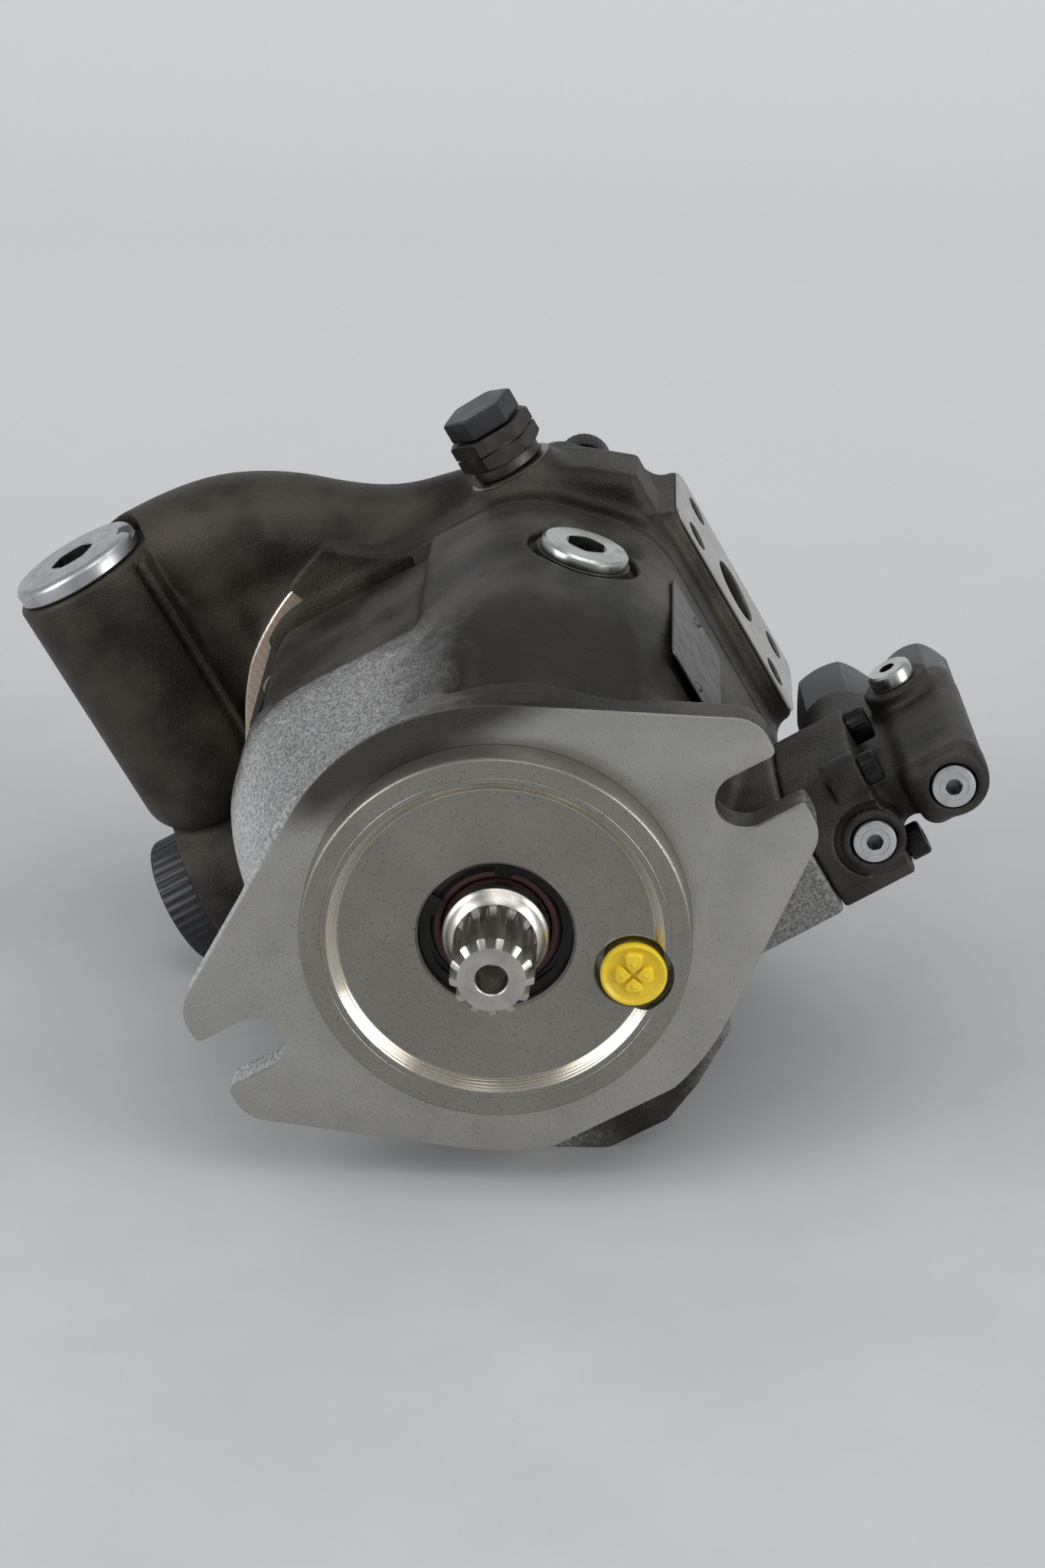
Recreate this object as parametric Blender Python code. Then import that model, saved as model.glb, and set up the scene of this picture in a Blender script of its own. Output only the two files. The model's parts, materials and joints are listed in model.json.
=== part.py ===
"""Axial piston pump: variable displacement, swashplate design, two-bolt flange, splined shaft.

The pump is designed in its own frame, in millimetres: the origin is the pilot's centre on the
mounting face, x runs along the flange ears, y runs into the pump along the shaft, and z is up.
Everything hangs on the empty pump_axis, which rolls the pump onto the two spots it rests on.
"""
import math

import bmesh
import bpy
from mathutils import Euler, Matrix, Vector
from mathutils.geometry import convex_hull_2d

MM = 0.001
GAP = 0.3
CASTINGS = ("pump_housing", "port_casting", "control_valve_body")
CUTTER_TURN = 0.037

# how the pump lies: rolled about its shaft until pad and suction cap both touch the ground
ROLL_DEG = -29.31
AXIS_HEIGHT = 77.5
AXIS_X = 7.0
AXIS_Y = -81.5

# mounting flange and pilot
FLANGE_T = 12.0
PILOT_R = 50.8
PILOT_H = 9.5
SLOT_X = 73.0
SLOT_R = 7.7
EAR_X = 76.3
EAR_Z = 12.4
EAR_R = 10.0
FLANGE_TOP_R = 61.0
FLANGE_BOTTOM_R = 66.0
FLANGE_FLAT_Z = -63.5

# casting sections
HALF = 68.0
CORNER = 76.0
NECK_HALF = 57.0
SHOULDER_Y = 46.0
JOINT_Y = 118.0
REAR_Y = 178.0
CAVITY_R = 54.0
CAVITY_Y = 24.0
BOLT_AT = 48.5
FOOT_OUTLINE = [(-34, -82.3), (6, -82.3), (18, -76.8), (34, -66.5), (34, -50), (-34, -50)]
RECESS_DEG = 31.5

# rotating group
PISTONS = 9
PISTON_CIRCLE_R = 31.0
PISTON_R = 6.95
BALL_R = 5.5
BALL_Y = 66.0
PLATE_Y = 60.0
BARREL_FRONT_Y = 76.0
BARREL_REAR_Y = 112.5
BARREL_R = 42.5
SHAFT_R = 14.0
SHAFT_FRONT_Y = -33.0
TEETH = 13
TOOTH_TIP_R = 10.9
TOOTH_ROOT_R = 9.2

# cradle and its control pistons
CRADLE_R = 36.0
SADDLE_IN = 25.0
SADDLE_OUT = 38.0
STROKE_X = 24.0
STROKE_Z = 49.0

# ports and rear casting
PORT_X = 73.0
PORT_Y = 158.0
PRESSURE_R = 10.0
PORT_BOLT_Y = 11.1
PORT_BOLT_Z = 23.8
SUCTION_Y = 144.0
SUCTION_Z = -3.7
SUCTION_R = 14.5
SUCTION_CAP_R = 19.8
GRIPS = 24
BOSS_X = -87.0
BOSS_Y = 140.0
BOSS_TOP_Z = 101.0
BOSS_R = 21.0
DUCT_Y = 152.0
DUCT_R = 17.5
DUCT_BORE_R = 12.0
FITTING_X = 38.0
FITTING_Y = 137.0
FITTING_FOOT_Z = 70.8
LUMP_OUTLINE = [(44, 40), (69.3, 40), (69.3, 53), (58, 62), (46, 68.4), (44, 68.4)]
REAR_SLOPE_DEG = 21.4

# control valve on the +x side
PAD_X = 77.5
VALVE_FRONT_Y = 22.0
VALVE_TOE_DEG = 3.6
LOW_BORE = (93.5, -34.5)
HIGH_BORE = (118.6, -31.0)
LOW_END_Y = 104.0
HIGH_END_Y = 88.0
SIDE_PLUG = (114.6, 76.0)
VALVE_BLOCK_Y = 65.0

IRON = (0.085, 0.078, 0.068)
STEEL = (0.42, 0.41, 0.39)
BRIGHT = (0.62, 0.61, 0.57)
ZINC = (0.66, 0.70, 0.66)
BLACK = (0.012, 0.012, 0.013)
BRONZE = (0.45, 0.28, 0.12)
YELLOW = (0.85, 0.62, 0.04)


# ---------------------------------------------------------------- scene and materials
def clear_scene():
    for obj in list(bpy.data.objects):
        bpy.data.objects.remove(obj, do_unlink=True)
    for mesh in list(bpy.data.meshes):
        bpy.data.meshes.remove(mesh)


def collection(name):
    found = bpy.data.collections.new(name)
    bpy.context.scene.collection.children.link(found)
    return found


def add_material(obj, colour, roughness, metallic):
    mat = bpy.data.materials.new(obj.name)
    mat.use_nodes = True
    shader = mat.node_tree.nodes["Principled BSDF"]
    shader.inputs["Base Color"].default_value = (*colour, 1.0)
    shader.inputs["Roughness"].default_value = roughness
    shader.inputs["Metallic"].default_value = metallic
    mat.diffuse_color = (*colour, 1.0)
    obj.data.materials.clear()
    obj.data.materials.append(mat)


# ---------------------------------------------------------------- bodies, in pump millimetres
AXIS_TURN = {
    "y": Euler((-math.pi / 2, 0, 0)),
    "-y": Euler((math.pi / 2, 0, 0)),
    "x": Euler((0, math.pi / 2, 0)),
    "-x": Euler((0, -math.pi / 2, 0)),
    "z": Euler((0, 0, 0)),
    "corner": Euler((0, math.pi / 4, 0)),
}


def place(obj, at=(0, 0, 0), axis="z"):
    """Set an object down in the pump frame, with its own +Z along the axis named."""
    obj.location = Vector(at) * MM
    obj.rotation_euler = AXIS_TURN[axis]
    obj.parent = PUMP
    return obj


def swing(*objects):
    """Turn bodies with the control valve, which is set slightly toed in on its pad."""
    for obj in objects:
        obj.parent = VALVE
        obj.matrix_parent_inverse = Matrix.Translation(-VALVE.location)


def mesh_object(name, bm, group):
    mesh = bpy.data.meshes.new(name)
    bmesh.ops.recalc_face_normals(bm, faces=bm.faces)
    bm.to_mesh(mesh)
    bm.free()
    mesh.shade_smooth()
    mesh.set_sharp_from_angle(angle=math.radians(32))
    obj = bpy.data.objects.new(name, mesh)
    group.objects.link(obj)
    if group is CUTTERS:
        obj.hide_render = True
        obj.display_type = "WIRE"
    return obj


def block(name, low, high, group, bevel=0.0, segments=1):
    """A box between two corners, with its edges rounded by bevel."""
    bm = bmesh.new()
    bmesh.ops.create_cube(bm, size=1.0)
    middle = (Vector(low) + Vector(high)) / 2
    size = Vector(high) - Vector(low)
    for vert in bm.verts:
        vert.co = Vector(a * b * MM for a, b in zip(vert.co, size))
    if bevel:
        bmesh.ops.bevel(bm, geom=list(bm.edges), offset=bevel * MM, segments=segments,
                        profile=0.5, affect="EDGES")
    return place(mesh_object(name, bm, group), middle)


def turned(name, outline, at, axis, group, steps=32, start=0.0):
    """A profile of (radius, height) points turned about its own z; it closes on itself."""
    bm = bmesh.new()
    verts = [bm.verts.new((r * MM, 0, h * MM)) for r, h in outline]
    edges = list(zip(verts, verts[1:]))
    if outline[0][0] > 0 or outline[-1][0] > 0:
        edges.append((verts[-1], verts[0]))
    for pair in edges:
        bm.edges.new(pair)
    bmesh.ops.spin(bm, geom=list(bm.verts) + list(bm.edges), cent=(0, 0, 0), axis=(0, 0, 1),
                   angle=2 * math.pi, steps=steps, use_merge=True)
    # a cutter's seams are turned a little, so that they never run along another tool's seams
    start += CUTTER_TURN if group is CUTTERS else 0.0
    bmesh.ops.rotate(bm, verts=bm.verts, cent=(0, 0, 0), matrix=Matrix.Rotation(start, 3, "Z"))
    bmesh.ops.remove_doubles(bm, verts=bm.verts, dist=0.01 * MM)
    return place(mesh_object(name, bm, group), at, axis)


def rod(name, r, at, axis, length, group, steps=32, chamfer=0.0):
    """A solid cylinder from its foot at `at`, along the axis."""
    if chamfer:
        outline = [(0, length), (r - chamfer, length), (r, length - chamfer),
                   (r, chamfer), (r - chamfer, 0), (0, 0)]
    else:
        outline = [(0, length), (r, length), (r, 0), (0, 0)]
    return turned(name, outline, at, axis, group, steps)


def ring(name, r_out, r_in, at, axis, length, group, steps=32, chamfer=0.0):
    outline = [(r_in, length), (r_out - chamfer, length), (r_out, length - chamfer),
               (r_out, 0), (r_in, 0)]
    if not chamfer:
        del outline[2]
    return turned(name, outline, at, axis, group, steps)


def prism(name, outline, low_y, high_y, group):
    """A flat outline of (x, z) points, drawn out from low_y to high_y."""
    bm = bmesh.new()
    face = bm.faces.new([bm.verts.new((x * MM, low_y * MM, z * MM)) for x, z in outline])
    moved = bmesh.ops.extrude_face_region(bm, geom=[face])["geom"]
    bmesh.ops.translate(bm, vec=(0, (high_y - low_y) * MM, 0),
                        verts=[g for g in moved if isinstance(g, bmesh.types.BMVert)])
    return place(mesh_object(name, bm, group))


def hexagon(name, flats, at, axis, length, group):
    return rod(name, flats / math.sqrt(3), at, axis, length, group, steps=6)


def sector(name, r_out, r_in, angles_deg, at, axis, length, group, steps=12):
    """A ring's stretch between two angles, for kidney slots and bearing shells."""
    first, last = (math.radians(a) for a in angles_deg)
    bm = bmesh.new()
    corners = [(r_in, 0), (r_out, 0), (r_out, length), (r_in, length)]
    face = bm.faces.new([bm.verts.new((r * MM, 0, h * MM)) for r, h in corners])
    bmesh.ops.rotate(bm, verts=bm.verts, cent=(0, 0, 0), matrix=Matrix.Rotation(first, 3, "Z"))
    bmesh.ops.spin(bm, geom=[face], cent=(0, 0, 0), axis=(0, 0, 1), angle=last - first, steps=steps)
    bmesh.ops.remove_doubles(bm, verts=bm.verts, dist=0.01 * MM)
    return place(mesh_object(name, bm, group), at, axis)


def tube(name, points, radius, group, sides=2):
    """A round bar along a smooth line through the points, as a closed mesh."""
    curve = bpy.data.curves.new(name, "CURVE")
    curve.dimensions = "3D"
    curve.bevel_depth = radius * MM
    curve.bevel_resolution = sides
    curve.use_fill_caps = True
    line = curve.splines.new("POLY")
    line.points.add(len(points) - 1)
    for spot, where in zip(line.points, points):
        spot.co = (*(Vector(where) * MM), 1)
    shape = bpy.data.objects.new(name + "_line", curve)
    CUTTERS.objects.link(shape)
    bpy.context.view_layer.update()
    seen = shape.evaluated_get(bpy.context.evaluated_depsgraph_get())
    mesh = bpy.data.meshes.new_from_object(seen)
    bpy.data.objects.remove(shape, do_unlink=True)
    bm = bmesh.new()
    bm.from_mesh(mesh)
    bmesh.ops.remove_doubles(bm, verts=bm.verts, dist=0.005 * MM)
    return place(mesh_object(name, bm, group))


def coil(name, r, wire, low, high, turns, at, group, per_turn=9):
    """A compression spring standing along +y from low to high, its end turns closed up."""
    count = turns * per_turn
    span = high - low - 2 * wire
    points = []
    for i in range(count + 1):
        t = i / count
        angle = 2 * math.pi * turns * t
        rise = low + wire + span * t
        points.append((at[0] + r * math.cos(angle), rise, at[1] + r * math.sin(angle)))
    return tube(name, points, wire, group, sides=1)


def combine(obj, others, how):
    """Join, cut or intersect; the exact solver leaves open edges on the three castings."""
    for other in others:
        tool = obj.modifiers.new(how.lower() + "_" + other.name, "BOOLEAN")
        tool.operation = how
        tool.solver = "MANIFOLD" if obj.name in CASTINGS else "EXACT"
        tool.object = other
    return obj


def join(obj, *others):
    return combine(obj, others, "UNION")


def cut(obj, *others):
    return combine(obj, others, "DIFFERENCE")


# ---------------------------------------------------------------- outlines
def arc(centre, r, first_deg, last_deg, steps):
    return [(centre[0] + r * math.cos(math.radians(first_deg + (last_deg - first_deg) * i / steps)),
             centre[1] + r * math.sin(math.radians(first_deg + (last_deg - first_deg) * i / steps)))
            for i in range(steps + 1)]


def flange_outline():
    """Two ears and a round middle; the lower half is fuller and ends in a short flat."""
    spots = arc((0, 0), FLANGE_TOP_R, 20, 160, 16)
    spots += [(x, max(z, FLANGE_FLAT_Z)) for x, z in arc((0, 0), FLANGE_BOTTOM_R, 200, 340, 16)]
    for side in (-1, 1):
        for level in (-1, 1):
            spots += arc((side * EAR_X, level * EAR_Z), EAR_R, 0, 360, 16)
    return [spots[i] for i in convex_hull_2d([Vector(s) for s in spots])]


def casting_prism(name, low_y, high_y, group, half=HALF, corner=CORNER, front_half=None):
    """A square section with cut corners; front_half tapers it towards the flange."""
    leg = half * 2 - corner * math.sqrt(2)
    bm = bmesh.new()
    bmesh.ops.create_cube(bm, size=1.0)
    for vert in bm.verts:
        y = low_y if vert.co.y < 0 else high_y
        vert.co = Vector((2 * half * vert.co.x, y, 2 * half * vert.co.z)) * MM
    long_edges = [e for e in bm.edges if abs(e.verts[0].co.y - e.verts[1].co.y) > 0.1 * MM]
    bmesh.ops.bevel(bm, geom=long_edges, offset=leg * MM, segments=1, affect="EDGES")
    long_edges = [e for e in bm.edges if abs(e.verts[0].co.y - e.verts[1].co.y) > 0.1 * MM]
    bmesh.ops.bevel(bm, geom=long_edges, offset=7 * MM, segments=2, profile=0.5, affect="EDGES")
    if front_half:
        geom = list(bm.verts) + list(bm.edges) + list(bm.faces)
        bmesh.ops.bisect_plane(bm, geom=geom, plane_co=(0, SHOULDER_Y * MM, 0), plane_no=(0, 1, 0),
                               dist=0.001 * MM)
        for vert in bm.verts:
            if vert.co.y < (low_y + 1) * MM:
                vert.co.x *= front_half / half
                vert.co.z *= front_half / half
    return place(mesh_object(name, bm, group))


# ---------------------------------------------------------------- castings
def make_housing():
    body = casting_prism("pump_housing", 6, JOINT_Y - GAP, PARTS, front_half=NECK_HALF)
    flange = prism("flange_plate", flange_outline(), 0, FLANGE_T, CUTTERS)
    pilot = turned("pilot", [(0, 15), (PILOT_R, 15), (PILOT_R, 0.6), (PILOT_R - 0.6, 0),
                             (43.9, 0), (41.0, 2.8), (0, 2.8)],
                   (0, -PILOT_H, 0), "y", CUTTERS, steps=48)
    valve_pad = block("valve_pad", (50, VALVE_FRONT_Y, -49), (PAD_X, VALVE_BLOCK_Y, -11), CUTTERS,
                      bevel=1.5)
    swing(valve_pad)
    foot = prism("foot", FOOT_OUTLINE, 24, 58, CUTTERS)
    join(body, flange, pilot, valve_pad, foot)

    slots = []
    for side, name in ((-1, "left_slot"), (1, "right_slot")):
        slots.append(rod(name + "_end", SLOT_R, (side * SLOT_X, -1, 0), "y", 20, CUTTERS, steps=24))
        low, high = sorted((side * SLOT_X, side * 100))
        slots.append(block(name + "_mouth", (low, -1, -SLOT_R), (high, 19, SLOT_R), CUTTERS))
    bowl = turned("bowl", [(0, 120), (CAVITY_R, 120), (CAVITY_R, CAVITY_Y + 4),
                           (CAVITY_R - 4, CAVITY_Y), (0, CAVITY_Y)],
                  (0, 0, 0), "y", CUTTERS, steps=32)
    shaft_way = turned("shaft_way", [(0, 40), (21, 40), (21, 11), (20.25, 11), (20.25, -20), (0, -20)],
                       (0, 0, 0), "y", CUTTERS, steps=24)
    pocket = block("top_pocket", (-48, 53, 63.6), (11, 112, 90), CUTTERS, bevel=4)
    recess = sloped_block("shoulder_recess", (17, -60, 0), (60, 0, 30), (45, 67.8), RECESS_DEG, 5)
    combine(recess, [block("recess_limit", (0, FLANGE_T + GAP, 20), (90, 70, 110), CUTTERS)],
            "INTERSECT")
    rest = block("rest_flat", (-200, -40, -60), (200, 160, 0), CUTTERS)
    rest.rotation_euler = Euler((0, math.radians(-ROLL_DEG), 0))
    rest.location = rest.rotation_euler.to_matrix() @ (Vector((0, 60, -AXIS_HEIGHT - 30)) * MM)
    plug_hole = rod("plug_hole", 8.3, corner_at(86), "corner", -40, CUTTERS)
    spot_face = rod("plug_spot_face", 15, corner_at(CORNER - 1.2), "corner", 12, CUTTERS)
    yellow_hole = rod("plug_pocket", 10.1, (26.6, -20, -25.6), "y", 20.5, CUTTERS, steps=24)
    stroke_way = rod("stroke_way", 10, (STROKE_X, 48, STROKE_Z), "y", 80, CUTTERS, steps=20)
    bias_way = rod("bias_way", 11, (-STROKE_X, 48, -STROKE_Z), "y", 80, CUTTERS, steps=20)
    cut(body, *slots, bowl, shaft_way, pocket, recess, rest, plug_hole, spot_face, yellow_hole,
        stroke_way, bias_way)
    for i, (x, z) in enumerate(bolt_places()):
        cut(body, rod("bolt_hole_%d" % i, 5.3, (x, 92, z), "y", 40, CUTTERS, steps=10))
    for i, (y, z) in enumerate(valve_screw_places()):
        tapped = rod("valve_screw_hole_%d" % i, 2.8, (PAD_X - 12, y, z), "x", 20, CUTTERS, steps=8)
        swing(tapped)
        cut(body, tapped)
    saddles = []
    for side in (-1, 1):
        low, high = sorted((side * (SADDLE_IN - 0.5), side * (SADDLE_OUT + 0.5)))
        saddles.append(block("saddle_%d" % side, (low, 20, -27), (high, 46, 27), CUTTERS))
    join(body, *saddles)
    cut(body, rod("saddle_round", CRADLE_R + 2.6, (-45, PLATE_Y, 0), "x", 90, CUTTERS, steps=36))
    add_material(body, IRON, 0.6, 0.5)


def sloped_block(name, low, high, pivot, slope_deg, bevel=0.0):
    """A cutter whose origin stands at the pivot's (y, z), tipped up by slope_deg along +y."""
    tool = block(name, low, high, CUTTERS, bevel=bevel)
    tool.rotation_euler = Euler((math.radians(slope_deg), 0, 0))
    tool.location = Vector((0, *pivot)) * MM + tool.rotation_euler.to_matrix() @ tool.location
    return tool


def corner_at(distance):
    """A point out along the upper right 45 degree corner."""
    return (distance / math.sqrt(2), 84.0, distance / math.sqrt(2))


def bolt_places():
    return [(x, z) for x in (-BOLT_AT, BOLT_AT) for z in (-BOLT_AT, BOLT_AT)]


def valve_screw_places():
    return [(32.0, -44.0), (58.0, -17.5)]


def duct_points():
    """The suction duct's middle line, from inside the casting over to the valve boss."""
    stations = [(6, 44), (-8, 58), (-20, 70.5), (-32, 80.5), (-46, 87.5), (-62, 90), (-84, 90)]
    points = []
    for i in range(len(stations) - 1):
        before, here = stations[max(i - 1, 0)], stations[i]
        there, after = stations[i + 1], stations[min(i + 2, len(stations) - 1)]
        for k in range(3):
            t = k / 3
            x, z = (0.5 * (2 * h + (n - b) * t + (2 * b - 5 * h + 4 * n - a) * t ** 2
                           + (3 * h - b - 3 * n + a) * t ** 3)
                    for b, h, n, a in zip(before, here, there, after))
            points.append((x, DUCT_Y, z))
    points.append((stations[-1][0], DUCT_Y, stations[-1][1]))
    return points


def make_rear_casting():
    body = casting_prism("port_casting", JOINT_Y + GAP, REAR_Y, PARTS)
    cut(body, sloped_block("rear_slope", (-90, -3, 0), (90, 50, 40), (155, 68.2), -REAR_SLOPE_DEG))
    land = sector("round_land", 77.2, 50, (145, 242), (0, JOINT_Y + GAP, 0), "y", 6, CUTTERS, steps=16)
    lump = prism("corner_lump", LUMP_OUTLINE, 127, 152, CUTTERS)
    rib = tube("duct_rib", [(-20, 150, 69.5), (34, 150, 58)], 12, CUTTERS)
    hub = rod("rear_hub", 36, (0, 170, 0), "y", 26, CUTTERS, steps=28, chamfer=2)
    duct = tube("duct", duct_points(), DUCT_R, CUTTERS, sides=3)
    boss = turned("boss", [(0, BOSS_TOP_Z), (BOSS_R, BOSS_TOP_Z), (BOSS_R, 28), (BOSS_R - 3, 22),
                           (BOSS_R - 9, 18), (0, 17)],
                  (BOSS_X, BOSS_Y, 0), "z", CUTTERS, steps=28)
    back = block("boss_back", (BOSS_X - 20, BOSS_Y, 52), (BOSS_X + 26, 172, BOSS_TOP_Z),
                 CUTTERS, bevel=4)
    wing = block("wing", (BOSS_X + 2, 133, -24), (-50, 170, 70), CUTTERS, bevel=5)
    web = block("duct_web", (BOSS_X + 8, 143, 20), (-10, 161, 62), CUTTERS, bevel=3)
    high_web = block("high_duct_web", (BOSS_X + 8, 144, 55), (-24, 160, 80), CUTTERS, bevel=3)
    suction = rod("suction_boss", 24.5, (-58, SUCTION_Y, SUCTION_Z), "-x", 47, CUTTERS, steps=32)
    pad = block("pressure_pad", (50, PORT_Y - 20, -36), (PORT_X, PORT_Y + 20, 36), CUTTERS, bevel=3)
    neck = rod("fitting_boss", 12, (FITTING_X, FITTING_Y, 55), "z", 15.5, CUTTERS, steps=20)
    join(body, land, lump, rib, hub, duct, boss, back, wing, web, high_web, suction, pad, neck)

    bearing = rod("rear_bearing_bore", 21.3, (0, 110, 0), "y", 62, CUTTERS, steps=24)
    pressure = rod("pressure_bore", PRESSURE_R, (28, PORT_Y, 0), "x", 60, CUTTERS, steps=20)
    pressure_way = sector("pressure_way", 36, 26, (-30, 30), (0, 100, 0), "y", 56, CUTTERS)
    inlet = rod("suction_bore", SUCTION_R, (-28, SUCTION_Y, SUCTION_Z), "-x", 90, CUTTERS, steps=24)
    inlet_way = sector("suction_way", 36, 26, (150, 210), (0, 100, 0), "y", 40, CUTTERS)
    duct_bore = tube("duct_bore", duct_points(), DUCT_BORE_R, CUTTERS, sides=2)
    drop = rod("duct_drop", 8, (-2, DUCT_Y, 50), "z", -46, CUTTERS, steps=20)
    boss_bore = rod("boss_bore", 14.3, (BOSS_X, BOSS_Y, 40), "z", 80, CUTTERS, steps=20)
    boss_down = rod("boss_down", 9, (BOSS_X, BOSS_Y, -3), "z", 50, CUTTERS, steps=16)
    fitting_bore = rod("fitting_bore", 6.3, (FITTING_X, FITTING_Y, 58), "z", 30, CUTTERS, steps=14)
    stroke_bore = rod("stroke_bore", 8.3, (STROKE_X, 100, STROKE_Z), "y", 52, CUTTERS, steps=16)
    boss_face = rod("boss_face", BOSS_R + 0.4, (BOSS_X, BOSS_Y, BOSS_TOP_Z), "z", 20, CUTTERS, steps=28)
    cut(body, bearing, pressure, pressure_way, inlet, inlet_way, duct_bore, drop, boss_bore,
        boss_down, boss_face, fitting_bore, stroke_bore)
    for i, (x, z) in enumerate(bolt_places()):
        cut(body, rod("through_hole_%d" % i, 5.7, (x, 100, z), "y", 90, CUTTERS, steps=10))
    for i, (dy, dz) in enumerate([(a, b) for a in (-1, 1) for b in (-1, 1)]):
        spot = (PORT_X - 16, PORT_Y + dy * PORT_BOLT_Y, dz * PORT_BOLT_Z)
        cut(body, rod("port_bolt_hole_%d" % i, 4.6, spot, "x", 30, CUTTERS, steps=10))
    add_material(body, IRON, 0.6, 0.5)


def make_gasket():
    gasket = casting_prism("joint_gasket", JOINT_Y - 0.15, JOINT_Y + 0.15, PARTS, 67.0, 75.0)
    cut(gasket, rod("gasket_hole", CAVITY_R + 6.5, (0, 100, 0), "y", 40, CUTTERS, steps=32))
    cut(gasket, rod("gasket_stroke_hole", 8.7, (STROKE_X, 100, STROKE_Z), "y", 40, CUTTERS, steps=16))
    for i, (x, z) in enumerate(bolt_places()):
        cut(gasket, rod("gasket_bolt_hole_%d" % i, 5.8, (x, 100, z), "y", 40, CUTTERS, steps=10))
    add_material(gasket, (0.12, 0.11, 0.10), 0.8, 0.0)


def make_bolts():
    for i, (x, z) in enumerate(bolt_places()):
        bolt = turned("housing_bolt_%d" % (i + 1),
                      [(0, 10), (7.4, 10), (8, 9.4), (8, 0), (4.9, 0), (4.9, -80), (0, -80)],
                      (x, REAR_Y + 0.3, z), "y", PARTS, steps=14)
        cut(bolt, hexagon("bolt_socket_%d" % i, 8, (x, REAR_Y + 5, z), "y", 12, CUTTERS))
        add_material(bolt, (0.05, 0.05, 0.05), 0.5, 0.8)


# ---------------------------------------------------------------- shaft and bearings
def make_shaft():
    shaft = turned("drive_shaft", [(0, 168), (11.6, 168), (12, 167), (12, 146), (13.6, 144),
                                   (13.6, 36), (16, 35), (16, 30), (14.7, 30), (14.7, 11),
                                   (14, 10), (14, -8), (12.6, -10.4), (9.4, -10.4), (0, -10.4)],
                   (0, 0, 0), "y", PARTS, steps=24)
    outline = []
    for tooth in range(TEETH):
        turn = 2 * math.pi * tooth / TEETH + math.pi / 2
        for share, r in ((-0.32, TOOTH_ROOT_R), (-0.15, TOOTH_TIP_R), (0.15, TOOTH_TIP_R),
                         (0.32, TOOTH_ROOT_R)):
            angle = turn + share * 2 * math.pi / TEETH
            outline.append((r * math.cos(angle), r * math.sin(angle)))
    spline = prism("spline", outline, SHAFT_FRONT_Y, -7, CUTTERS)
    nose = turned("spline_nose", [(0, 30), (TOOTH_TIP_R + 2, 30), (TOOTH_TIP_R + 2, 3.7), (9.1, 0), (0, 0)],
                  (0, SHAFT_FRONT_Y, 0), "y", CUTTERS, steps=32)
    combine(spline, [nose], "INTERSECT")
    join(shaft, spline)
    cut(shaft, rod("centre_hole", 4.1, (0, SHAFT_FRONT_Y - 5, 0), "y", 23, CUTTERS, steps=12))
    add_material(shaft, BRIGHT, 0.3, 1.0)


def make_bearings():
    for name, y, r_shaft, r_out, length in (("front", 12.0, 14.7, 20.6, 17.0),
                                            ("rear", 150.0, 12.0, 21.0, 15.0)):
        r_mid = (r_shaft + r_out) / 2
        cone = turned(name + "_bearing_rollers",
                      [(r_shaft + GAP, length - 1), (r_mid - 0.4, length - 1), (r_mid + 1.2, 1.5),
                       (r_shaft + GAP, 1.5)], (0, y, 0), "y", PARTS, steps=20)
        cup = turned(name + "_bearing_cup",
                     [(r_mid, length), (r_out, length), (r_out, 0), (r_mid + 1.9, 0)],
                     (0, y, 0), "y", PARTS, steps=20)
        add_material(cone, STEEL, 0.3, 1.0)
        add_material(cup, STEEL, 0.3, 1.0)


def make_seal():
    seal = turned("shaft_seal", [(14.4, 8.0), (19.9, 8.0), (19.9, 0.6), (16.9, 0.6), (16.9, 1.6),
                                 (15.4, 2.2), (14.4, 1.4)],
                  (0, -2.5, 0), "y", PARTS, steps=24)
    add_material(seal, BLACK, 0.5, 0.0)
    clip = ring("seal_retaining_ring", 19.9, 17.6, (0, -3.5, 0), "y", 1.2, PARTS, steps=24)
    add_material(clip, (0.08, 0.07, 0.06), 0.4, 0.8)


# ---------------------------------------------------------------- swash mechanism
def make_cradle():
    cradle = rod("swash_cradle", 44, (0, 51, 0), "y", PLATE_Y - 51 - GAP, PARTS, steps=32)
    rockers = []
    for side in (-1, 1):
        low, high = sorted((side * SADDLE_IN, side * SADDLE_OUT))
        rocker = sector("rocker_%d" % side, CRADLE_R, 6, (96, 264), (low, PLATE_Y, 0), "x",
                        high - low, CUTTERS, steps=16)
        rocker.rotation_euler = Euler((math.pi / 2, 0, math.pi / 2))
        rockers.append(rocker)
    for side in (-1, 1):
        x, z = side * STROKE_X, side * STROKE_Z
        low, high = sorted((side * 34, z))
        rockers.append(block("arm_%d" % side, (x - 6, 52, low), (x + 6, PLATE_Y - 0.5, high), CUTTERS))
        rockers.append(rod("arm_end_%d" % side, 8.5, (x, 51.5, z), "y", PLATE_Y - 51.9, CUTTERS, steps=14))
    join(cradle, *rockers)
    cut(cradle, rod("cradle_eye", 18.5, (0, 20, 0), "y", 60, CUTTERS, steps=20))
    add_material(cradle, STEEL, 0.4, 1.0)


def make_cradle_shells():
    for side, name in ((-1, "left"), (1, "right")):
        low = min(side * SADDLE_IN, side * SADDLE_OUT)
        shell = sector("cradle_shell_" + name, CRADLE_R + 2.3, CRADLE_R + 0.3, (146, 214),
                       (low, PLATE_Y, 0), "x", SADDLE_OUT - SADDLE_IN, PARTS, steps=12)
        shell.rotation_euler = Euler((math.pi / 2, 0, math.pi / 2))
        add_material(shell, BRONZE, 0.4, 0.9)


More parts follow.
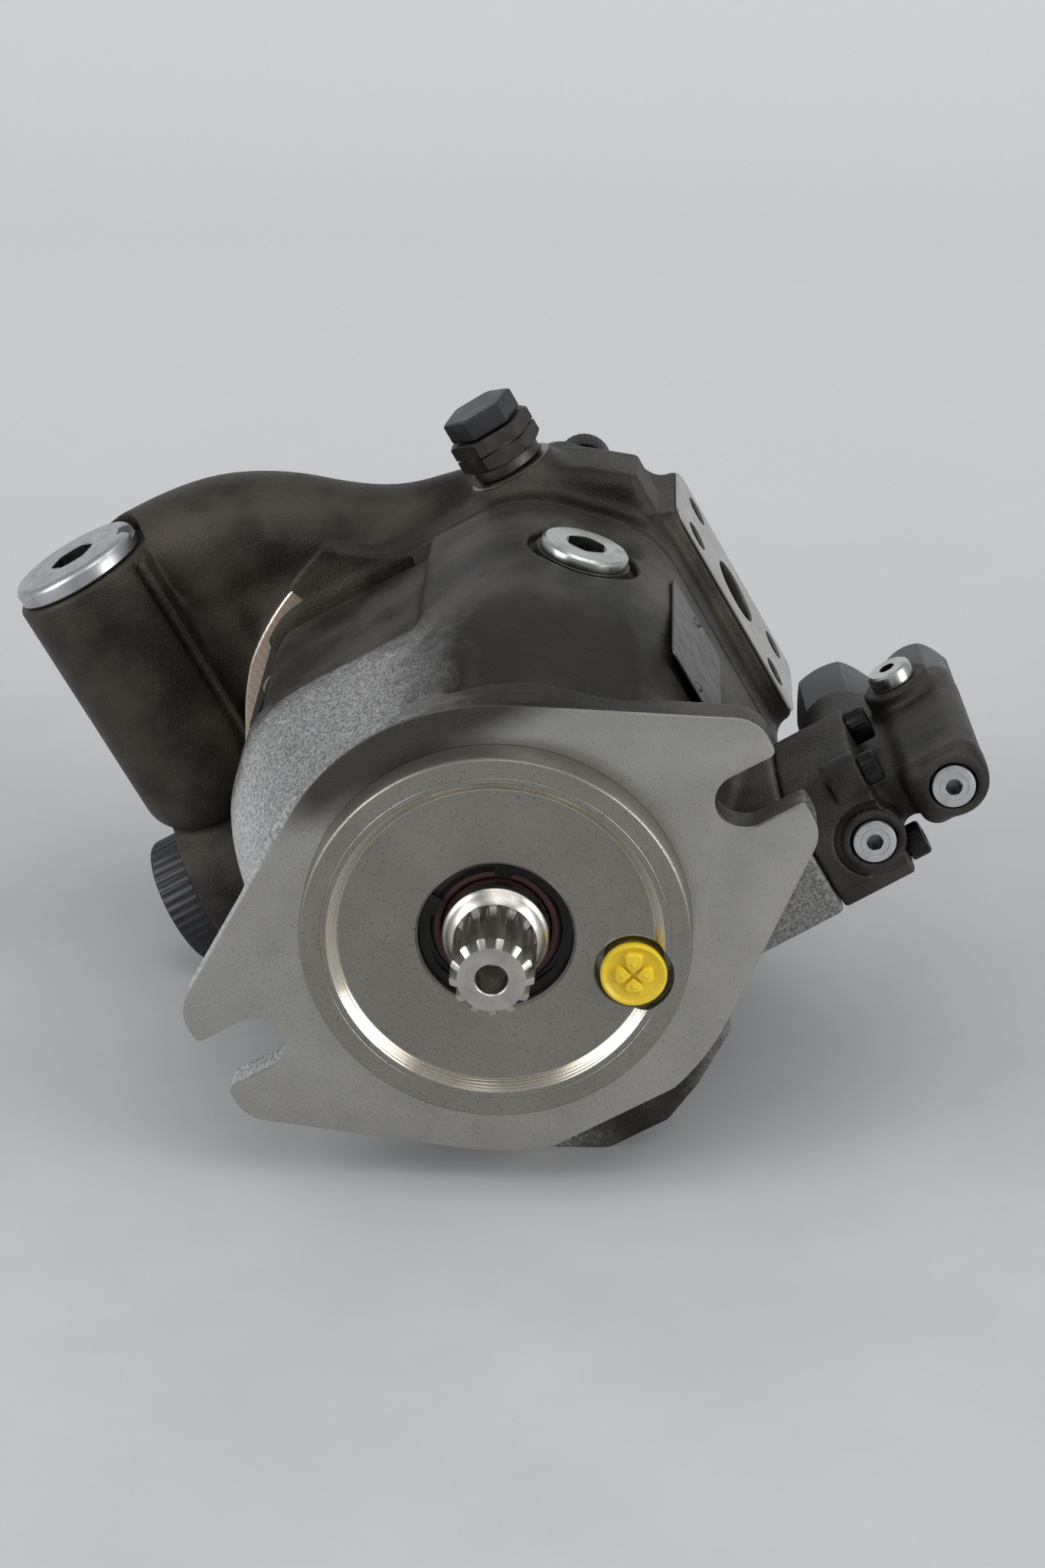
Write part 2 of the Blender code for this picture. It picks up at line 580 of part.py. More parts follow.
def make_barrel():
    barrel = turned("cylinder_barrel",
                    [(SHAFT_R, BARREL_REAR_Y), (BARREL_R - 3, BARREL_REAR_Y),
                     (BARREL_R, BARREL_REAR_Y - 6), (BARREL_R, BARREL_FRONT_Y + 1),
                     (BARREL_R - 1, BARREL_FRONT_Y), (20.5, BARREL_FRONT_Y), (20.5, 103),
                     (SHAFT_R, 103)],
                    (0, 0, 0), "y", PARTS, steps=36)
    for i in range(PISTONS):
        x, z = piston_place(i)
        bore = turned("bore_%d" % i, [(0, 44), (3.4, 44), (3.4, 31), (PISTON_R + 0.5, 31),
                                      (PISTON_R + 0.5, 0), (0, 0)],
                      (x, BARREL_FRONT_Y - 4, z), "y", CUTTERS, steps=12)
        cut(barrel, bore)
    add_material(barrel, STEEL, 0.35, 1.0)


def piston_place(i):
    angle = 2 * math.pi * (i + 0.25) / PISTONS
    return (PISTON_CIRCLE_R * math.cos(angle), PISTON_CIRCLE_R * math.sin(angle))


def make_pistons():
    ball = [(BALL_R * math.sin(a), BALL_Y - BALL_R * math.cos(a))
            for a in (math.radians(d) for d in (0, 40, 90, 142))]
    piston_line = ball + [(PISTON_R, 75), (PISTON_R, 98), (0, 98)]
    socket = [((BALL_R + GAP) * math.sin(a), BALL_Y - (BALL_R + GAP) * math.cos(a))
              for a in (math.radians(d) for d in (100, 90, 40, 0))]
    slipper_line = [(0, PLATE_Y), (9.6, PLATE_Y), (9.6, PLATE_Y + 2.6), (7.3, PLATE_Y + 2.6),
                    (7.3, BALL_Y + 1.5)] + socket
    for i in range(PISTONS):
        x, z = piston_place(i)
        piston = turned("piston_%d" % (i + 1), piston_line[::-1], (x, 0, z), "y", PARTS, steps=12)
        slipper = turned("slipper_%d" % (i + 1), slipper_line[::-1], (x, 0, z), "y", PARTS, steps=12)
        add_material(piston, BRIGHT, 0.25, 1.0)
        add_material(slipper, BRONZE, 0.35, 1.0)


def make_retainer():
    plate = ring("retainer_plate", 40.5, 17, (0, PLATE_Y + 3.2, 0), "y", 2.4, PARTS, steps=28)
    for i in range(PISTONS):
        x, z = piston_place(i)
        cut(plate, rod("retainer_hole_%d" % i, 8.1, (x, 50, z), "y", 30, CUTTERS, steps=9))
    add_material(plate, STEEL, 0.35, 1.0)
    guide = turned("retaining_ball", [(SHAFT_R, 72), (18, 72), (18, 70), (16.6, 67), (16.6, 62),
                                      (15.4, 61), (SHAFT_R, 61)],
                   (0, 0, 0), "y", PARTS, steps=20)
    add_material(guide, STEEL, 0.3, 1.0)
    spring = coil("barrel_spring", 17.6, 1.3, 72.4, 102.6, 4, (0, 0), PARTS)
    add_material(spring, STEEL, 0.4, 1.0)


def make_valve_plate():
    plate = ring("valve_plate", 43, 22, (0, BARREL_REAR_Y + GAP, 0), "y", 5.0, PARTS, steps=32)
    for i, middle in enumerate((0, 180)):
        cut(plate, sector("kidney_%d" % i, 34.5, 27.5, (middle - 58, middle + 58), (0, 100, 0), "y",
                          40, CUTTERS, steps=9))
    add_material(plate, BRONZE, 0.3, 1.0)


def make_control_pistons():
    stroke = turned("stroking_piston", [(0, 140), (7.4, 140), (8, 139.4), (8, 78), (5, 74), (5, 66),
                                        (3.5, 61.5), (0, PLATE_Y + GAP)],
                    (STROKE_X, 0, STROKE_Z), "y", PARTS, steps=16)
    bias = turned("bias_piston", [(0, 82), (10.2, 82), (10.2, 78), (5, 76), (5, 66), (3.5, 61.5),
                                  (0, PLATE_Y + GAP)],
                  (-STROKE_X, 0, -STROKE_Z), "y", PARTS, steps=16)
    spring = coil("bias_spring", 8.2, 1.4, 82.3, 117.6, 5, (-STROKE_X, -STROKE_Z), PARTS, per_turn=8)
    for piece in (stroke, bias, spring):
        add_material(piece, STEEL, 0.35, 1.0)


# ---------------------------------------------------------------- control valve
def make_valve():
    """Two parallel spool bores in one block; a plug closes each front end, a cap each spring end."""
    front = VALVE_FRONT_Y
    (lx, lz), (hx, hz) = LOW_BORE, HIGH_BORE
    body = block("control_valve_body", (PAD_X + GAP, front, -48.6), (99, VALVE_BLOCK_Y, -12), PARTS,
                 bevel=1.6)
    high = block("high_block", (hx - 11.5, front - 0.6, hz - 9.5), (hx + 9.9, HIGH_END_Y, hz + 9.5),
                 CUTTERS, bevel=3.5, segments=2)
    web = block("web", (lx, front + 8, hz - 6), (hx, HIGH_END_Y - 1, hz + 6.5), CUTTERS, bevel=1)
    low = rod("low_barrel", 12, (lx, 55, lz + 1), "y", LOW_END_Y - 55, CUTTERS, steps=24, chamfer=1)
    collar = rod("low_collar", 8.4, (lx, front - 1, lz), "y", 8, CUTTERS, steps=22)
    stub = rod("side_plug_boss", 9.4, (*SIDE_PLUG, hz), "z", 13.5, CUTTERS, steps=20)
    swing(body, high, web, low, collar, stub)
    join(body, high, web, low, collar, stub)
    for name, x, z, end in (("low", lx, lz, LOW_END_Y), ("high", hx, hz, HIGH_END_Y)):
        bore = turned(name + "_bore", [(0, end), (5.3, end), (5.3, 9.5), (6.4, 9.5), (6.4, 0), (0, 0)],
                      (x, front - 5, z), "y", CUTTERS, steps=18)
        swing(bore)
        cut(body, bore)
    side_hole = rod("side_plug_hole", 4.2, (*SIDE_PLUG, hz + 9), "z", 10, CUTTERS, steps=12)
    swing(side_hole)
    cut(body, side_hole)
    for i, (y, z) in enumerate(valve_screw_places()):
        through = rod("valve_through_%d" % i, 3.0, (PAD_X - 5, y, z), "x", 50, CUTTERS, steps=8)
        swing(through)
        cut(body, through)
    add_material(body, (0.05, 0.05, 0.05), 0.55, 0.5)
    make_valve_insides()
    make_valve_fasteners()


def make_valve_insides():
    front = VALVE_FRONT_Y
    (lx, lz), (hx, hz) = LOW_BORE, HIGH_BORE
    for name, x, z, end, cap_r, cap_length in (("low", lx, lz, LOW_END_Y, 12.7, 27),
                                               ("high", hx, hz, HIGH_END_Y, 9.6, 23)):
        plug = turned(name + "_bore_plug", [(0, 13), (4.9, 13), (4.9, 4.4), (5.8, 4), (5.8, 0.7),
                                            (5.1, 0), (0, 0)],
                      (x, front - 1.8, z), "y", PARTS, steps=20)
        socket = hexagon(name + "_plug_socket", 4, (x, front - 4, z), "y", 6.5, CUTTERS)
        cut(plug, socket)
        add_material(plug, (0.55, 0.56, 0.58), 0.35, 1.0)
        spool = turned(name + "_spool", [(0, 46), (5.0, 46), (5.0, 36), (3, 35), (3, 27), (5.0, 26),
                                         (5.0, 10), (3, 9), (3, 2), (5, 1), (5, 0), (0, 0)],
                       (x, front + 13, z), "y", PARTS, steps=14)
        add_material(spool, BRIGHT, 0.25, 1.0)
        cap = turned(name + "_adjuster_cap",
                     [(0, cap_length), (cap_r - 3, cap_length), (cap_r, cap_length - 2.5),
                      (cap_r, 0), (4.6, 0), (4.6, -4), (0, -4)],
                     (x, end + GAP, z), "y", PARTS, steps=6)
        add_material(cap, (0.04, 0.04, 0.042), 0.5, 0.6)
        swing(plug, socket, spool, cap)


def make_valve_fasteners():
    top = HIGH_BORE[1] + 13.5 + GAP
    side = turned("side_plug", [(0, 4), (5.6, 4), (6.2, 3.4), (6.2, 0), (3.8, 0), (3.8, -3), (0, -3)],
                  (*SIDE_PLUG, top), "z", PARTS, steps=16)
    socket = hexagon("side_plug_socket", 4, (*SIDE_PLUG, top + 1.4), "z", 9, CUTTERS)
    cut(side, socket)
    add_material(side, ZINC, 0.35, 1.0)
    swing(side, socket)
    base = 99 + GAP
    for i, (y, z) in enumerate(valve_screw_places()):
        screw = turned("valve_screw_%d" % (i + 1),
                       [(0, 5.4), (4.3, 5.4), (4.8, 4.9), (4.8, 0), (2.5, 0), (2.5, 66.5 - base),
                        (0, 66.5 - base)],
                       (base, y, z), "x", PARTS, steps=14)
        socket = hexagon("valve_screw_socket_%d" % i, 4, (base + 2.6, y, z), "x", 8, CUTTERS)
        cut(screw, socket)
        add_material(screw, BLACK, 0.45, 0.6)
        swing(screw, socket)


# ---------------------------------------------------------------- plugs, caps and plate
def make_corner_plug():
    plug = turned("case_drain_plug", [(0, 3.4), (11.3, 3.4), (12.2, 2.5), (12.2, 0), (8, 0), (8, -9),
                                      (0, -9)],
                  corner_at(CORNER - 0.9), "corner", PARTS, steps=28)
    cut(plug, hexagon("drain_socket", 10, corner_at(CORNER - 4.5), "corner", 12, CUTTERS))
    add_material(plug, ZINC, 0.35, 1.0)


def make_top_fitting():
    """A hexagon fitting on a round collar, closed by a moulded cap."""
    foot = FITTING_FOOT_Z
    fitting = turned("load_sense_fitting",
                     [(0, 6), (8.6, 6), (8.6, 0), (6, 0), (6, -10), (0, -10)],
                     (FITTING_X, FITTING_Y, foot), "z", PARTS, steps=20)
    nut = turned("fitting_hexagon", [(0, 9.5), (11.2, 9.5), (12.4, 8.4), (12.4, 1.2), (11.2, 0), (0, 0)],
                 (FITTING_X, FITTING_Y, foot + 3.8), "z", CUTTERS, steps=6, start=math.radians(12))
    join(fitting, nut)
    cap = turned("fitting_cap", [(0, 6.4), (9.8, 6.4), (10.8, 5.4), (10.8, 0), (0, 0)],
                 (FITTING_X, FITTING_Y, foot + 13.6), "z", PARTS, steps=6, start=math.radians(12))
    add_material(fitting, (0.07, 0.065, 0.06), 0.45, 0.8)
    add_material(cap, BLACK, 0.4, 0.0)


def make_boss_plug():
    plug = turned("relief_valve_plug", [(0, 5.6), (17.6, 5.6), (19.4, 3.8), (19.4, 0), (14, 0),
                                        (14, -22), (0, -22)],
                  (BOSS_X, BOSS_Y, BOSS_TOP_Z + GAP), "z", PARTS, steps=32)
    cut(plug, hexagon("relief_socket", 14, (BOSS_X, BOSS_Y, BOSS_TOP_Z - 3), "z", 20, CUTTERS))
    add_material(plug, BRIGHT, 0.3, 1.0)


def make_suction_cap():
    """A push-in cap whose rim is grooved for grip; its lower edge touches the ground."""
    outline = []
    for i in range(GRIPS):
        for share, r in ((0.0, SUCTION_CAP_R), (0.5, SUCTION_CAP_R - 0.6)):
            angle = 2 * math.pi * (i + share) / GRIPS
            outline.append((r * math.cos(angle), r * math.sin(angle)))
    cap = prism("suction_cap", outline, 0, 11.0, PARTS)
    cap.rotation_euler = Euler((0, 0, -math.pi / 2))
    cap.location = Vector((-105.3 - 11.0, SUCTION_Y, SUCTION_Z)) * MM
    join(cap, rod("cap_spigot", 13.8, (-106, SUCTION_Y, SUCTION_Z), "x", 14, CUTTERS, steps=20))
    cut(cap, rod("cap_hollow", 12.0, (-104, SUCTION_Y, SUCTION_Z), "x", 20, CUTTERS, steps=20))
    add_material(cap, BLACK, 0.55, 0.0)


def make_pilot_plug():
    plug = turned("pilot_port_plug", [(0, 6.0), (8.0, 6.0), (8.7, 5.3), (8.7, 4.0), (7.9, 3.4),
                                      (7.9, -3.0), (0, -3.0)],
                  (26.6, -3.6, -25.6), "-y", PARTS, steps=24)
    add_material(plug, YELLOW, 0.4, 0.0)


def make_nameplate():
    plate = block("name_plate", (HALF + GAP, 43, 3.5), (HALF + 1.1, 100, 31), PARTS)
    add_material(plate, (0.35, 0.35, 0.34), 0.4, 0.9)


clear_scene()
PARTS = collection("axial_piston_pump")
CUTTERS = collection("cutters")
PUMP = bpy.data.objects.new("pump_axis", None)
PARTS.objects.link(PUMP)
PUMP.location = Vector((AXIS_X, AXIS_Y, AXIS_HEIGHT)) * MM
PUMP.rotation_euler = Euler((0, math.radians(ROLL_DEG), 0))
VALVE = bpy.data.objects.new("valve_axis", None)
PARTS.objects.link(VALVE)
VALVE.parent = PUMP
VALVE.location = Vector((PAD_X, VALVE_FRONT_Y, 0)) * MM
VALVE.rotation_euler = Euler((0, 0, math.radians(VALVE_TOE_DEG)))

make_housing()
make_rear_casting()
make_gasket()
make_bolts()
make_shaft()
make_bearings()
make_seal()
make_cradle()
make_cradle_shells()
make_barrel()
make_pistons()
make_retainer()
make_valve_plate()
make_control_pistons()
make_valve()
make_corner_plug()
make_top_fitting()
make_boss_plug()
make_suction_cap()
make_pilot_plug()
make_nameplate()
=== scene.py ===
"""Axial piston pump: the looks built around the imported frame.

Shapes are worked out in the pump's own millimetres: x along the flange ears, y into the pump
along the shaft, z up, from the pilot's centre on the mounting face. The castings are distance
fields, so that their edges and corners are rounded as cast ones are; machined faces, screws
and plugs are crisp meshes set on them.
"""
import json
from math import atan2, cos, hypot, pi, radians, sin, sqrt

import bmesh
import bpy
import numpy as np
from mathutils import Matrix, Vector
from mathutils.geometry import convex_hull_2d


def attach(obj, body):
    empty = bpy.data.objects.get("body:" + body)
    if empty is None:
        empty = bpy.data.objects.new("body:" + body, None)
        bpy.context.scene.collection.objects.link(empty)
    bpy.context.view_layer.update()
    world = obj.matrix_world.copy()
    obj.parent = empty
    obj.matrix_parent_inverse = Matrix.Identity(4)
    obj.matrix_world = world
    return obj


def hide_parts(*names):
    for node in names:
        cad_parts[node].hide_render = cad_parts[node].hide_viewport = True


MM = 0.001
BODY = "pump_body"
PLACE = "own_place"
GRID = 0.75
FINE_GRID = 0.45

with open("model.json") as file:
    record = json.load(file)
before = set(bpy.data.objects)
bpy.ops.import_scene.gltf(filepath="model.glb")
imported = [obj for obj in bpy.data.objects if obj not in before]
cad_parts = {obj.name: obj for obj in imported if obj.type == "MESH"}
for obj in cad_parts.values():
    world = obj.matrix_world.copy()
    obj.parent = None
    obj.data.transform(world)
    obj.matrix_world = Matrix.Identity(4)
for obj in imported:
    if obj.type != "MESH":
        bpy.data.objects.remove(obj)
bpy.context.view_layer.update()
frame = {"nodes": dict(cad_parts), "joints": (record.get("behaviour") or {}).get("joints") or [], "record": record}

# ---- the pump's frame in the row
mounts = {m["name"]: m for m in frame["record"]["mounts"]}
joints = {j["name"]: j for j in frame["joints"]}
ALONG_X = Vector(mounts["pressure_port_face"]["axis"]).normalized()
ALONG_Y = -Vector(mounts["flange_face"]["axis"]).normalized()
ALONG_Z = ALONG_X.cross(ALONG_Y)
CENTRE = Vector(joints["shaft_spin"]["pos_m"])
PUMP = Matrix.Translation(CENTRE) @ Matrix((ALONG_X, ALONG_Y, ALONG_Z)).transposed().to_4x4()
TOE = Vector(joints["low_spool_slide"]["axis"])
TOE_ANGLE = atan2(-TOE.dot(ALONG_X), TOE.dot(ALONG_Y))


# driving sizes, in pump millimetres
PILOT_R = 50.8
SLOT_X, SLOT_R = 73.0, 7.7
EAR_X, EAR_Z, EAR_R = 76.3, 12.4, 10.0
TOP_R, BOTTOM_R, FLAT_Z = 61.0, 66.0, -63.5
HALF, CORNER, NECK_HALF = 68.0, 76.0, 57.0
SHOULDER_Y, JOINT_Y, REAR_Y = 46.0, 118.0, 178.0
BORE_R, CAVITY_R = 20.25, 54.0
FLOOR_DROP = CENTRE.z / MM
BOSS_X, BOSS_Y, BOSS_TOP, BOSS_R = -87.0, 140.0, 101.0, 21.0
SUCTION_Y, SUCTION_Z = 144.0, -3.7
DUCT_Y, DUCT_R = 152.0, 17.5
DUCT_LINE = [(6, 44), (-8, 58), (-20, 70.5), (-32, 80.5), (-46, 87.5), (-62, 90), (-84, 90)]
PORT_X, PORT_Y, PORT_R = 73.0, 158.0, 10.0
FITTING, FITTING_FOOT = (38.0, 137.0), 70.8
PORT_SCREWS = [(dy, dz) for dy in (-11.1, 11.1) for dz in (-23.8, 23.8)]
PILOT_PORT, PILOT_PORT_AT = (26.6, -25.6), (26.6, 0, -25.6)
DRAIN_Y = 84.0
PAD_X, VALVE_Y = 77.5, 22.0
LOW_BORE, HIGH_BORE, SIDE_PLUG = (93.5, -34.5), (118.6, -31.0), (114.6, 76.0)
LOW_END, HIGH_END, VALVE_BLOCK_Y = 104.0, 88.0, 65.0
VALVE_SCREWS = ((32.0, -44.0), (58.0, -17.5))
HIDDEN_SCREW = (26.5, -17.6)
FOOT_LINE = [(-34, -82.3), (6, -82.3), (18, -76.8), (34, -66.5), (34, -50), (-34, -50)]
LOW_ADJUSTER, HIGH_ADJUSTER = (12.7, 27.0), (9.6, 23.0)
LAND_R, LAND_STEP = 77.2, 2.3
LUMP_LINE = [(44, 40), (69.3, 40), (69.3, 53), (58, 62), (46, 68.4), (44, 68.4)]
JOINT_EAR = [(-40, 50), (-44.8, 63.6), (-35.2, 70.6), (-30.6, 75.0), (-17, 80.5), (-6.6, 72.1), (4, 66),
             (0, 50)]
BOLT_XZ = [(a, b) for a in (-48.5, 48.5) for b in (-48.5, 48.5)]
VALVE = Matrix.Translation((PAD_X * MM, VALVE_Y * MM, 0)) @ Matrix.Rotation(TOE_ANGLE, 4, "Z") \
    @ Matrix.Translation((-PAD_X * MM, -VALVE_Y * MM, 0))


def placed(name, data, where=PUMP):
    """An object in the scene for this data, standing at where."""
    obj = bpy.data.objects.new(name, data)
    bpy.context.scene.collection.objects.link(obj)
    obj.matrix_world = where
    return obj


# ---- distance fields
def soft_min(a, b, k):
    h = np.clip(0.5 + 0.5 * (b - a) / k, 0, 1)
    return b * (1 - h) + a * h - k * h * (1 - h)


def soft_max(a, b, k):
    return -soft_min(-a, -b, k)


def rounded(inner, k):
    """The distance to a shape given the distances to its slabs, with edges rounded by k."""
    beyond = sum(np.maximum(q + k, 0) ** 2 for q in inner)
    deep = inner[0]
    for q in inner[1:]:
        deep = np.maximum(deep, q)
    return np.sqrt(beyond) + np.minimum(deep + k, 0) - k


class Clay:
    """A solid held as distances on a grid. add and take blend with a fillet of size k."""

    def __init__(self, low, high, step):
        self.axes = [np.arange(a, b + step, step, dtype=np.float32) for a, b in zip(low, high)]
        self.x = self.axes[0][:, None, None]
        self.y = self.axes[1][None, :, None]
        self.z = self.axes[2][None, None, :]
        self.field = np.full([len(a) for a in self.axes], 1e3, np.float32)

    def turned(self, angle, x0, y0):
        """The grid's own x and y as seen by something turned about z at (x0, y0)."""
        dx, dy = self.x - x0, self.y - y0
        c, s = cos(angle), sin(angle)
        return x0 + c * dx + s * dy, y0 - s * dx + c * dy

    def box(self, low, high, k=1.0, at=None):
        x, y = at or (self.x, self.y)
        slabs = []
        for value, a, b in zip((x, y, self.z), low, high):
            slabs.append(np.abs(value - (a + b) / 2) - (b - a) / 2)
        return rounded(slabs, k)

    def rod(self, axis, centre, r, low, high, k=1.0):
        x, y, z = self.x, self.y, self.z
        u, v, t = {"x": (y, z, x), "y": (x, z, y), "z": (x, y, z)}[axis]
        radial = np.sqrt((u - centre[0]) ** 2 + (v - centre[1]) ** 2) - r
        return rounded([radial, np.abs(t - (low + high) / 2) - (high - low) / 2], k)

    def bar(self, axis, centre, r, low, high, k, blend):
        """Add a round bar along an axis."""
        self.add(self.rod(axis, centre, r, low, high, k), blend)

    def bore(self, axis, centre, r, low, high, k, blend):
        """Take a round hole along an axis."""
        self.take(self.rod(axis, centre, r, low, high, k), blend)

    def block(self, low, high, k, blend):
        self.add(self.box(low, high, k), blend)

    def add(self, shape, k=2.0):
        self.field = soft_min(self.field, shape, k).astype(np.float32)

    def take(self, shape, k=1.0):
        self.field = soft_max(self.field, -shape, k).astype(np.float32)

    def skin(self, name, smoothing=2):
        """The zero surface as quads, with one vertex in each cell that it passes through."""
        inside = self.field < 0
        shape = np.array(inside.shape)
        corners = [(i, j, k) for i in (0, 1) for j in (0, 1) for k in (0, 1)]
        filled = np.zeros(shape - 1, np.int8)
        for c in corners:
            filled += inside[c[0]:shape[0] - 1 + c[0], c[1]:shape[1] - 1 + c[1],
                             c[2]:shape[2] - 1 + c[2]]
        cells = np.argwhere((filled > 0) & (filled < 8))
        values = np.stack([self.field[tuple((cells + c).T)] for c in corners], 1)
        place, hits = np.zeros((len(cells), 3)), np.zeros(len(cells))
        for a in range(8):
            for b in range(a + 1, 8):
                if sum(p != q for p, q in zip(corners[a], corners[b])) != 1:
                    continue
                crossed = (values[:, a] < 0) != (values[:, b] < 0)
                share = values[crossed, a] / (values[crossed, a] - values[crossed, b])
                step = np.array(corners[b]) - np.array(corners[a])
                place[crossed] += np.array(corners[a]) + share[:, None] * step
                hits[crossed] += 1
        place = cells + place / hits[:, None]
        number = np.full(shape - 1, -1, np.int32)
        number[tuple(cells.T)] = np.arange(len(cells))
        quads = []
        for axis in range(3):
            u, v = np.eye(3, dtype=int)[(axis + 1) % 3], np.eye(3, dtype=int)[(axis + 2) % 3]
            ahead = np.roll(inside, -1, axis)
            spots = np.argwhere(inside != ahead)
            spots = spots[(spots[:, axis] < shape[axis] - 1)]
            ring = np.stack([number[tuple((spots - du * u - dv * v).T)]
                             for du, dv in ((0, 0), (1, 0), (1, 1), (0, 1))], 1)
            outward = inside[tuple(spots.T)]
            ring[~outward] = ring[~outward][:, ::-1]
            quads.append(ring)
        quads = np.concatenate(quads)
        quads = quads[(quads >= 0).all(1)]
        step = self.axes[0][1] - self.axes[0][0]
        place = np.array([a[0] for a in self.axes]) + place * step
        place = relax(place, quads, smoothing)
        mesh = bpy.data.meshes.new(name)
        mesh.vertices.add(len(place))
        mesh.vertices.foreach_set("co", (place * MM).astype(np.float32).ravel())
        mesh.loops.add(quads.size)
        mesh.loops.foreach_set("vertex_index", quads.astype(np.int32).ravel())
        mesh.polygons.add(len(quads))
        mesh.polygons.foreach_set("loop_start", np.arange(0, quads.size, 4, dtype=np.int32))
        mesh.update(calc_edges=True)
        mesh.validate()
        mesh.shade_smooth()
        return placed(name, mesh)


def relax(place, quads, rounds):
    """Each vertex moves to the middle of its neighbours, then part way back."""
    pairs = np.concatenate([quads[:, [i, (i + 1) % 4]] for i in range(4)])
    for i in range(rounds):
        total = np.zeros_like(place)
        for axis in range(3):
            total[:, axis] = (np.bincount(pairs[:, 0], place[pairs[:, 1], axis], len(place))
                              + np.bincount(pairs[:, 1], place[pairs[:, 0], axis], len(place)))
        count = np.bincount(pairs.ravel(), minlength=len(place))
        place = place + (0.55 if i % 2 == 0 else -0.35) * (total / count[:, None] - place)
    return place


def polygon_distance(x, z, outline):
    """Signed distance from each (x, z) to a closed outline, negative inside."""
    inside = np.zeros(np.broadcast(x, z).shape, bool)
    for (ax, az), (bx, bz) in zip(outline, outline[1:] + outline[:1]):
        if az != bz:
            inside ^= ((az > z) != (bz > z)) & (x < (bx - ax) * (z - az) / (bz - az) + ax)
    return np.where(inside, -1, 1) * line_distance(x, z, outline + outline[:1])


def line_distance(x, z, points):
    best = None
    for (ax, az), (bx, bz) in zip(points, points[1:]):
        dx, dz = bx - ax, bz - az
        t = np.clip(((x - ax) * dx + (z - az) * dz) / (dx * dx + dz * dz), 0, 1)
        here = np.sqrt((x - ax - t * dx) ** 2 + (z - az - t * dz) ** 2)
        best = here if best is None else np.minimum(best, here)
    return best


def eased_line(points, steps):
    """A smooth line through the points."""
    line = []
    for i in range(len(points) - 1):
        p = [np.array(points[min(max(i + d, 0), len(points) - 1)], float) for d in (-1, 0, 1, 2)]
        for k in range(steps):
            t = k / steps
            line.append(tuple(0.5 * (2 * p[1] + (p[2] - p[0]) * t
                                     + (2 * p[0] - 5 * p[1] + 4 * p[2] - p[3]) * t ** 2
                                     + (3 * p[1] - p[0] - 3 * p[2] + p[3]) * t ** 3)))
    return line + [points[-1]]


# ---- crisp meshes
def loft(bm, rings):
    """Skin closed rings of vertices in turn, and close both ends."""
    for a, b in zip(rings, rings[1:]):
        for i in range(len(a)):
            j = (i + 1) % len(a)
            bm.faces.new((a[i], a[j], b[j], b[i]))
    bm.faces.new(rings[0][::-1])
    bm.faces.new(rings[-1])


AXES = {"y": Matrix.Rotation(-pi / 2, 4, "X"), "-y": Matrix.Rotation(pi / 2, 4, "X"),
        "x": Matrix.Rotation(pi / 2, 4, "Y"), "-x": Matrix.Rotation(-pi / 2, 4, "Y"),
        "z": Matrix.Identity(4), "corner": Matrix.Rotation(pi / 4, 4, "Y"),
        "front": Matrix.Rotation(pi / 2, 4, "X") @ Matrix.Rotation(pi, 4, "Y"),
        "side": Matrix(((0, 0, 1), (1, 0, 0), (0, 1, 0))).to_4x4()}


def finish_mesh(name, bm, at=(0, 0, 0), axis="z", home=PUMP, sharp=28):
    """Make the object with its own +Z along the pump axis named, foot at `at`."""
    mesh = bpy.data.meshes.new(name)
    bmesh.ops.remove_doubles(bm, verts=bm.verts, dist=0.004 * MM)
    bmesh.ops.recalc_face_normals(bm, faces=bm.faces)
    bm.to_mesh(mesh)
    bm.free()
    mesh.shade_smooth()
    mesh.set_sharp_from_angle(angle=radians(sharp))
    return placed(name, mesh, home @ Matrix.Translation(Vector(at) * MM) @ AXES[axis])


def lathe(name, outline, at=(0, 0, 0), axis="y", steps=96, home=PUMP, sharp=28):
    bm = bmesh.new()
    verts = [bm.verts.new((r * MM, 0, h * MM)) for r, h in outline]
    pairs = list(zip(verts, verts[1:]))
    if outline[0][0] > 0 or outline[-1][0] > 0:
        pairs.append((verts[-1], verts[0]))
    for pair in pairs:
        bm.edges.new(pair)
    bmesh.ops.spin(bm, geom=list(bm.verts) + list(bm.edges), cent=(0, 0, 0), axis=(0, 0, 1),
                   angle=2 * pi, steps=steps, use_merge=True)
    return finish_mesh(name, bm, at, axis, home, sharp)


def swept(name, section, first, last, steps):
    """A closed section of (radius, height) points, carried between two angles in degrees."""
    bm = bmesh.new()
    rings = []
    for i in range(steps + 1):
        turn = radians(first + (last - first) * i / steps)
        rings.append([bm.verts.new((r * cos(turn) * MM, r * sin(turn) * MM, h * MM))
                      for r, h in section(turn)])
    loft(bm, rings)
    return finish_mesh(name, bm, axis="y", sharp=30)


def slab(name, outline, low, high, at=(0, 0, 0), axis="z", bevel=0.0, home=PUMP, segments=2):
    """A flat outline drawn out along its own z, with the edges of both faces rounded."""
    bm = bmesh.new()
    face = bm.faces.new([bm.verts.new((a * MM, b * MM, low * MM)) for a, b in outline])
    moved = bmesh.ops.extrude_face_region(bm, geom=[face])["geom"]
    bmesh.ops.translate(bm, vec=(0, 0, (high - low) * MM),
                        verts=[g for g in moved if isinstance(g, bmesh.types.BMVert)])
    if bevel:
        level = [e for e in bm.edges if abs(e.verts[0].co.z - e.verts[1].co.z) < 1e-7]
        bmesh.ops.bevel(bm, geom=level, offset=bevel * MM, segments=segments, profile=0.5,
                        affect="EDGES", clamp_overlap=True)
    return finish_mesh(name, bm, at, axis, home)


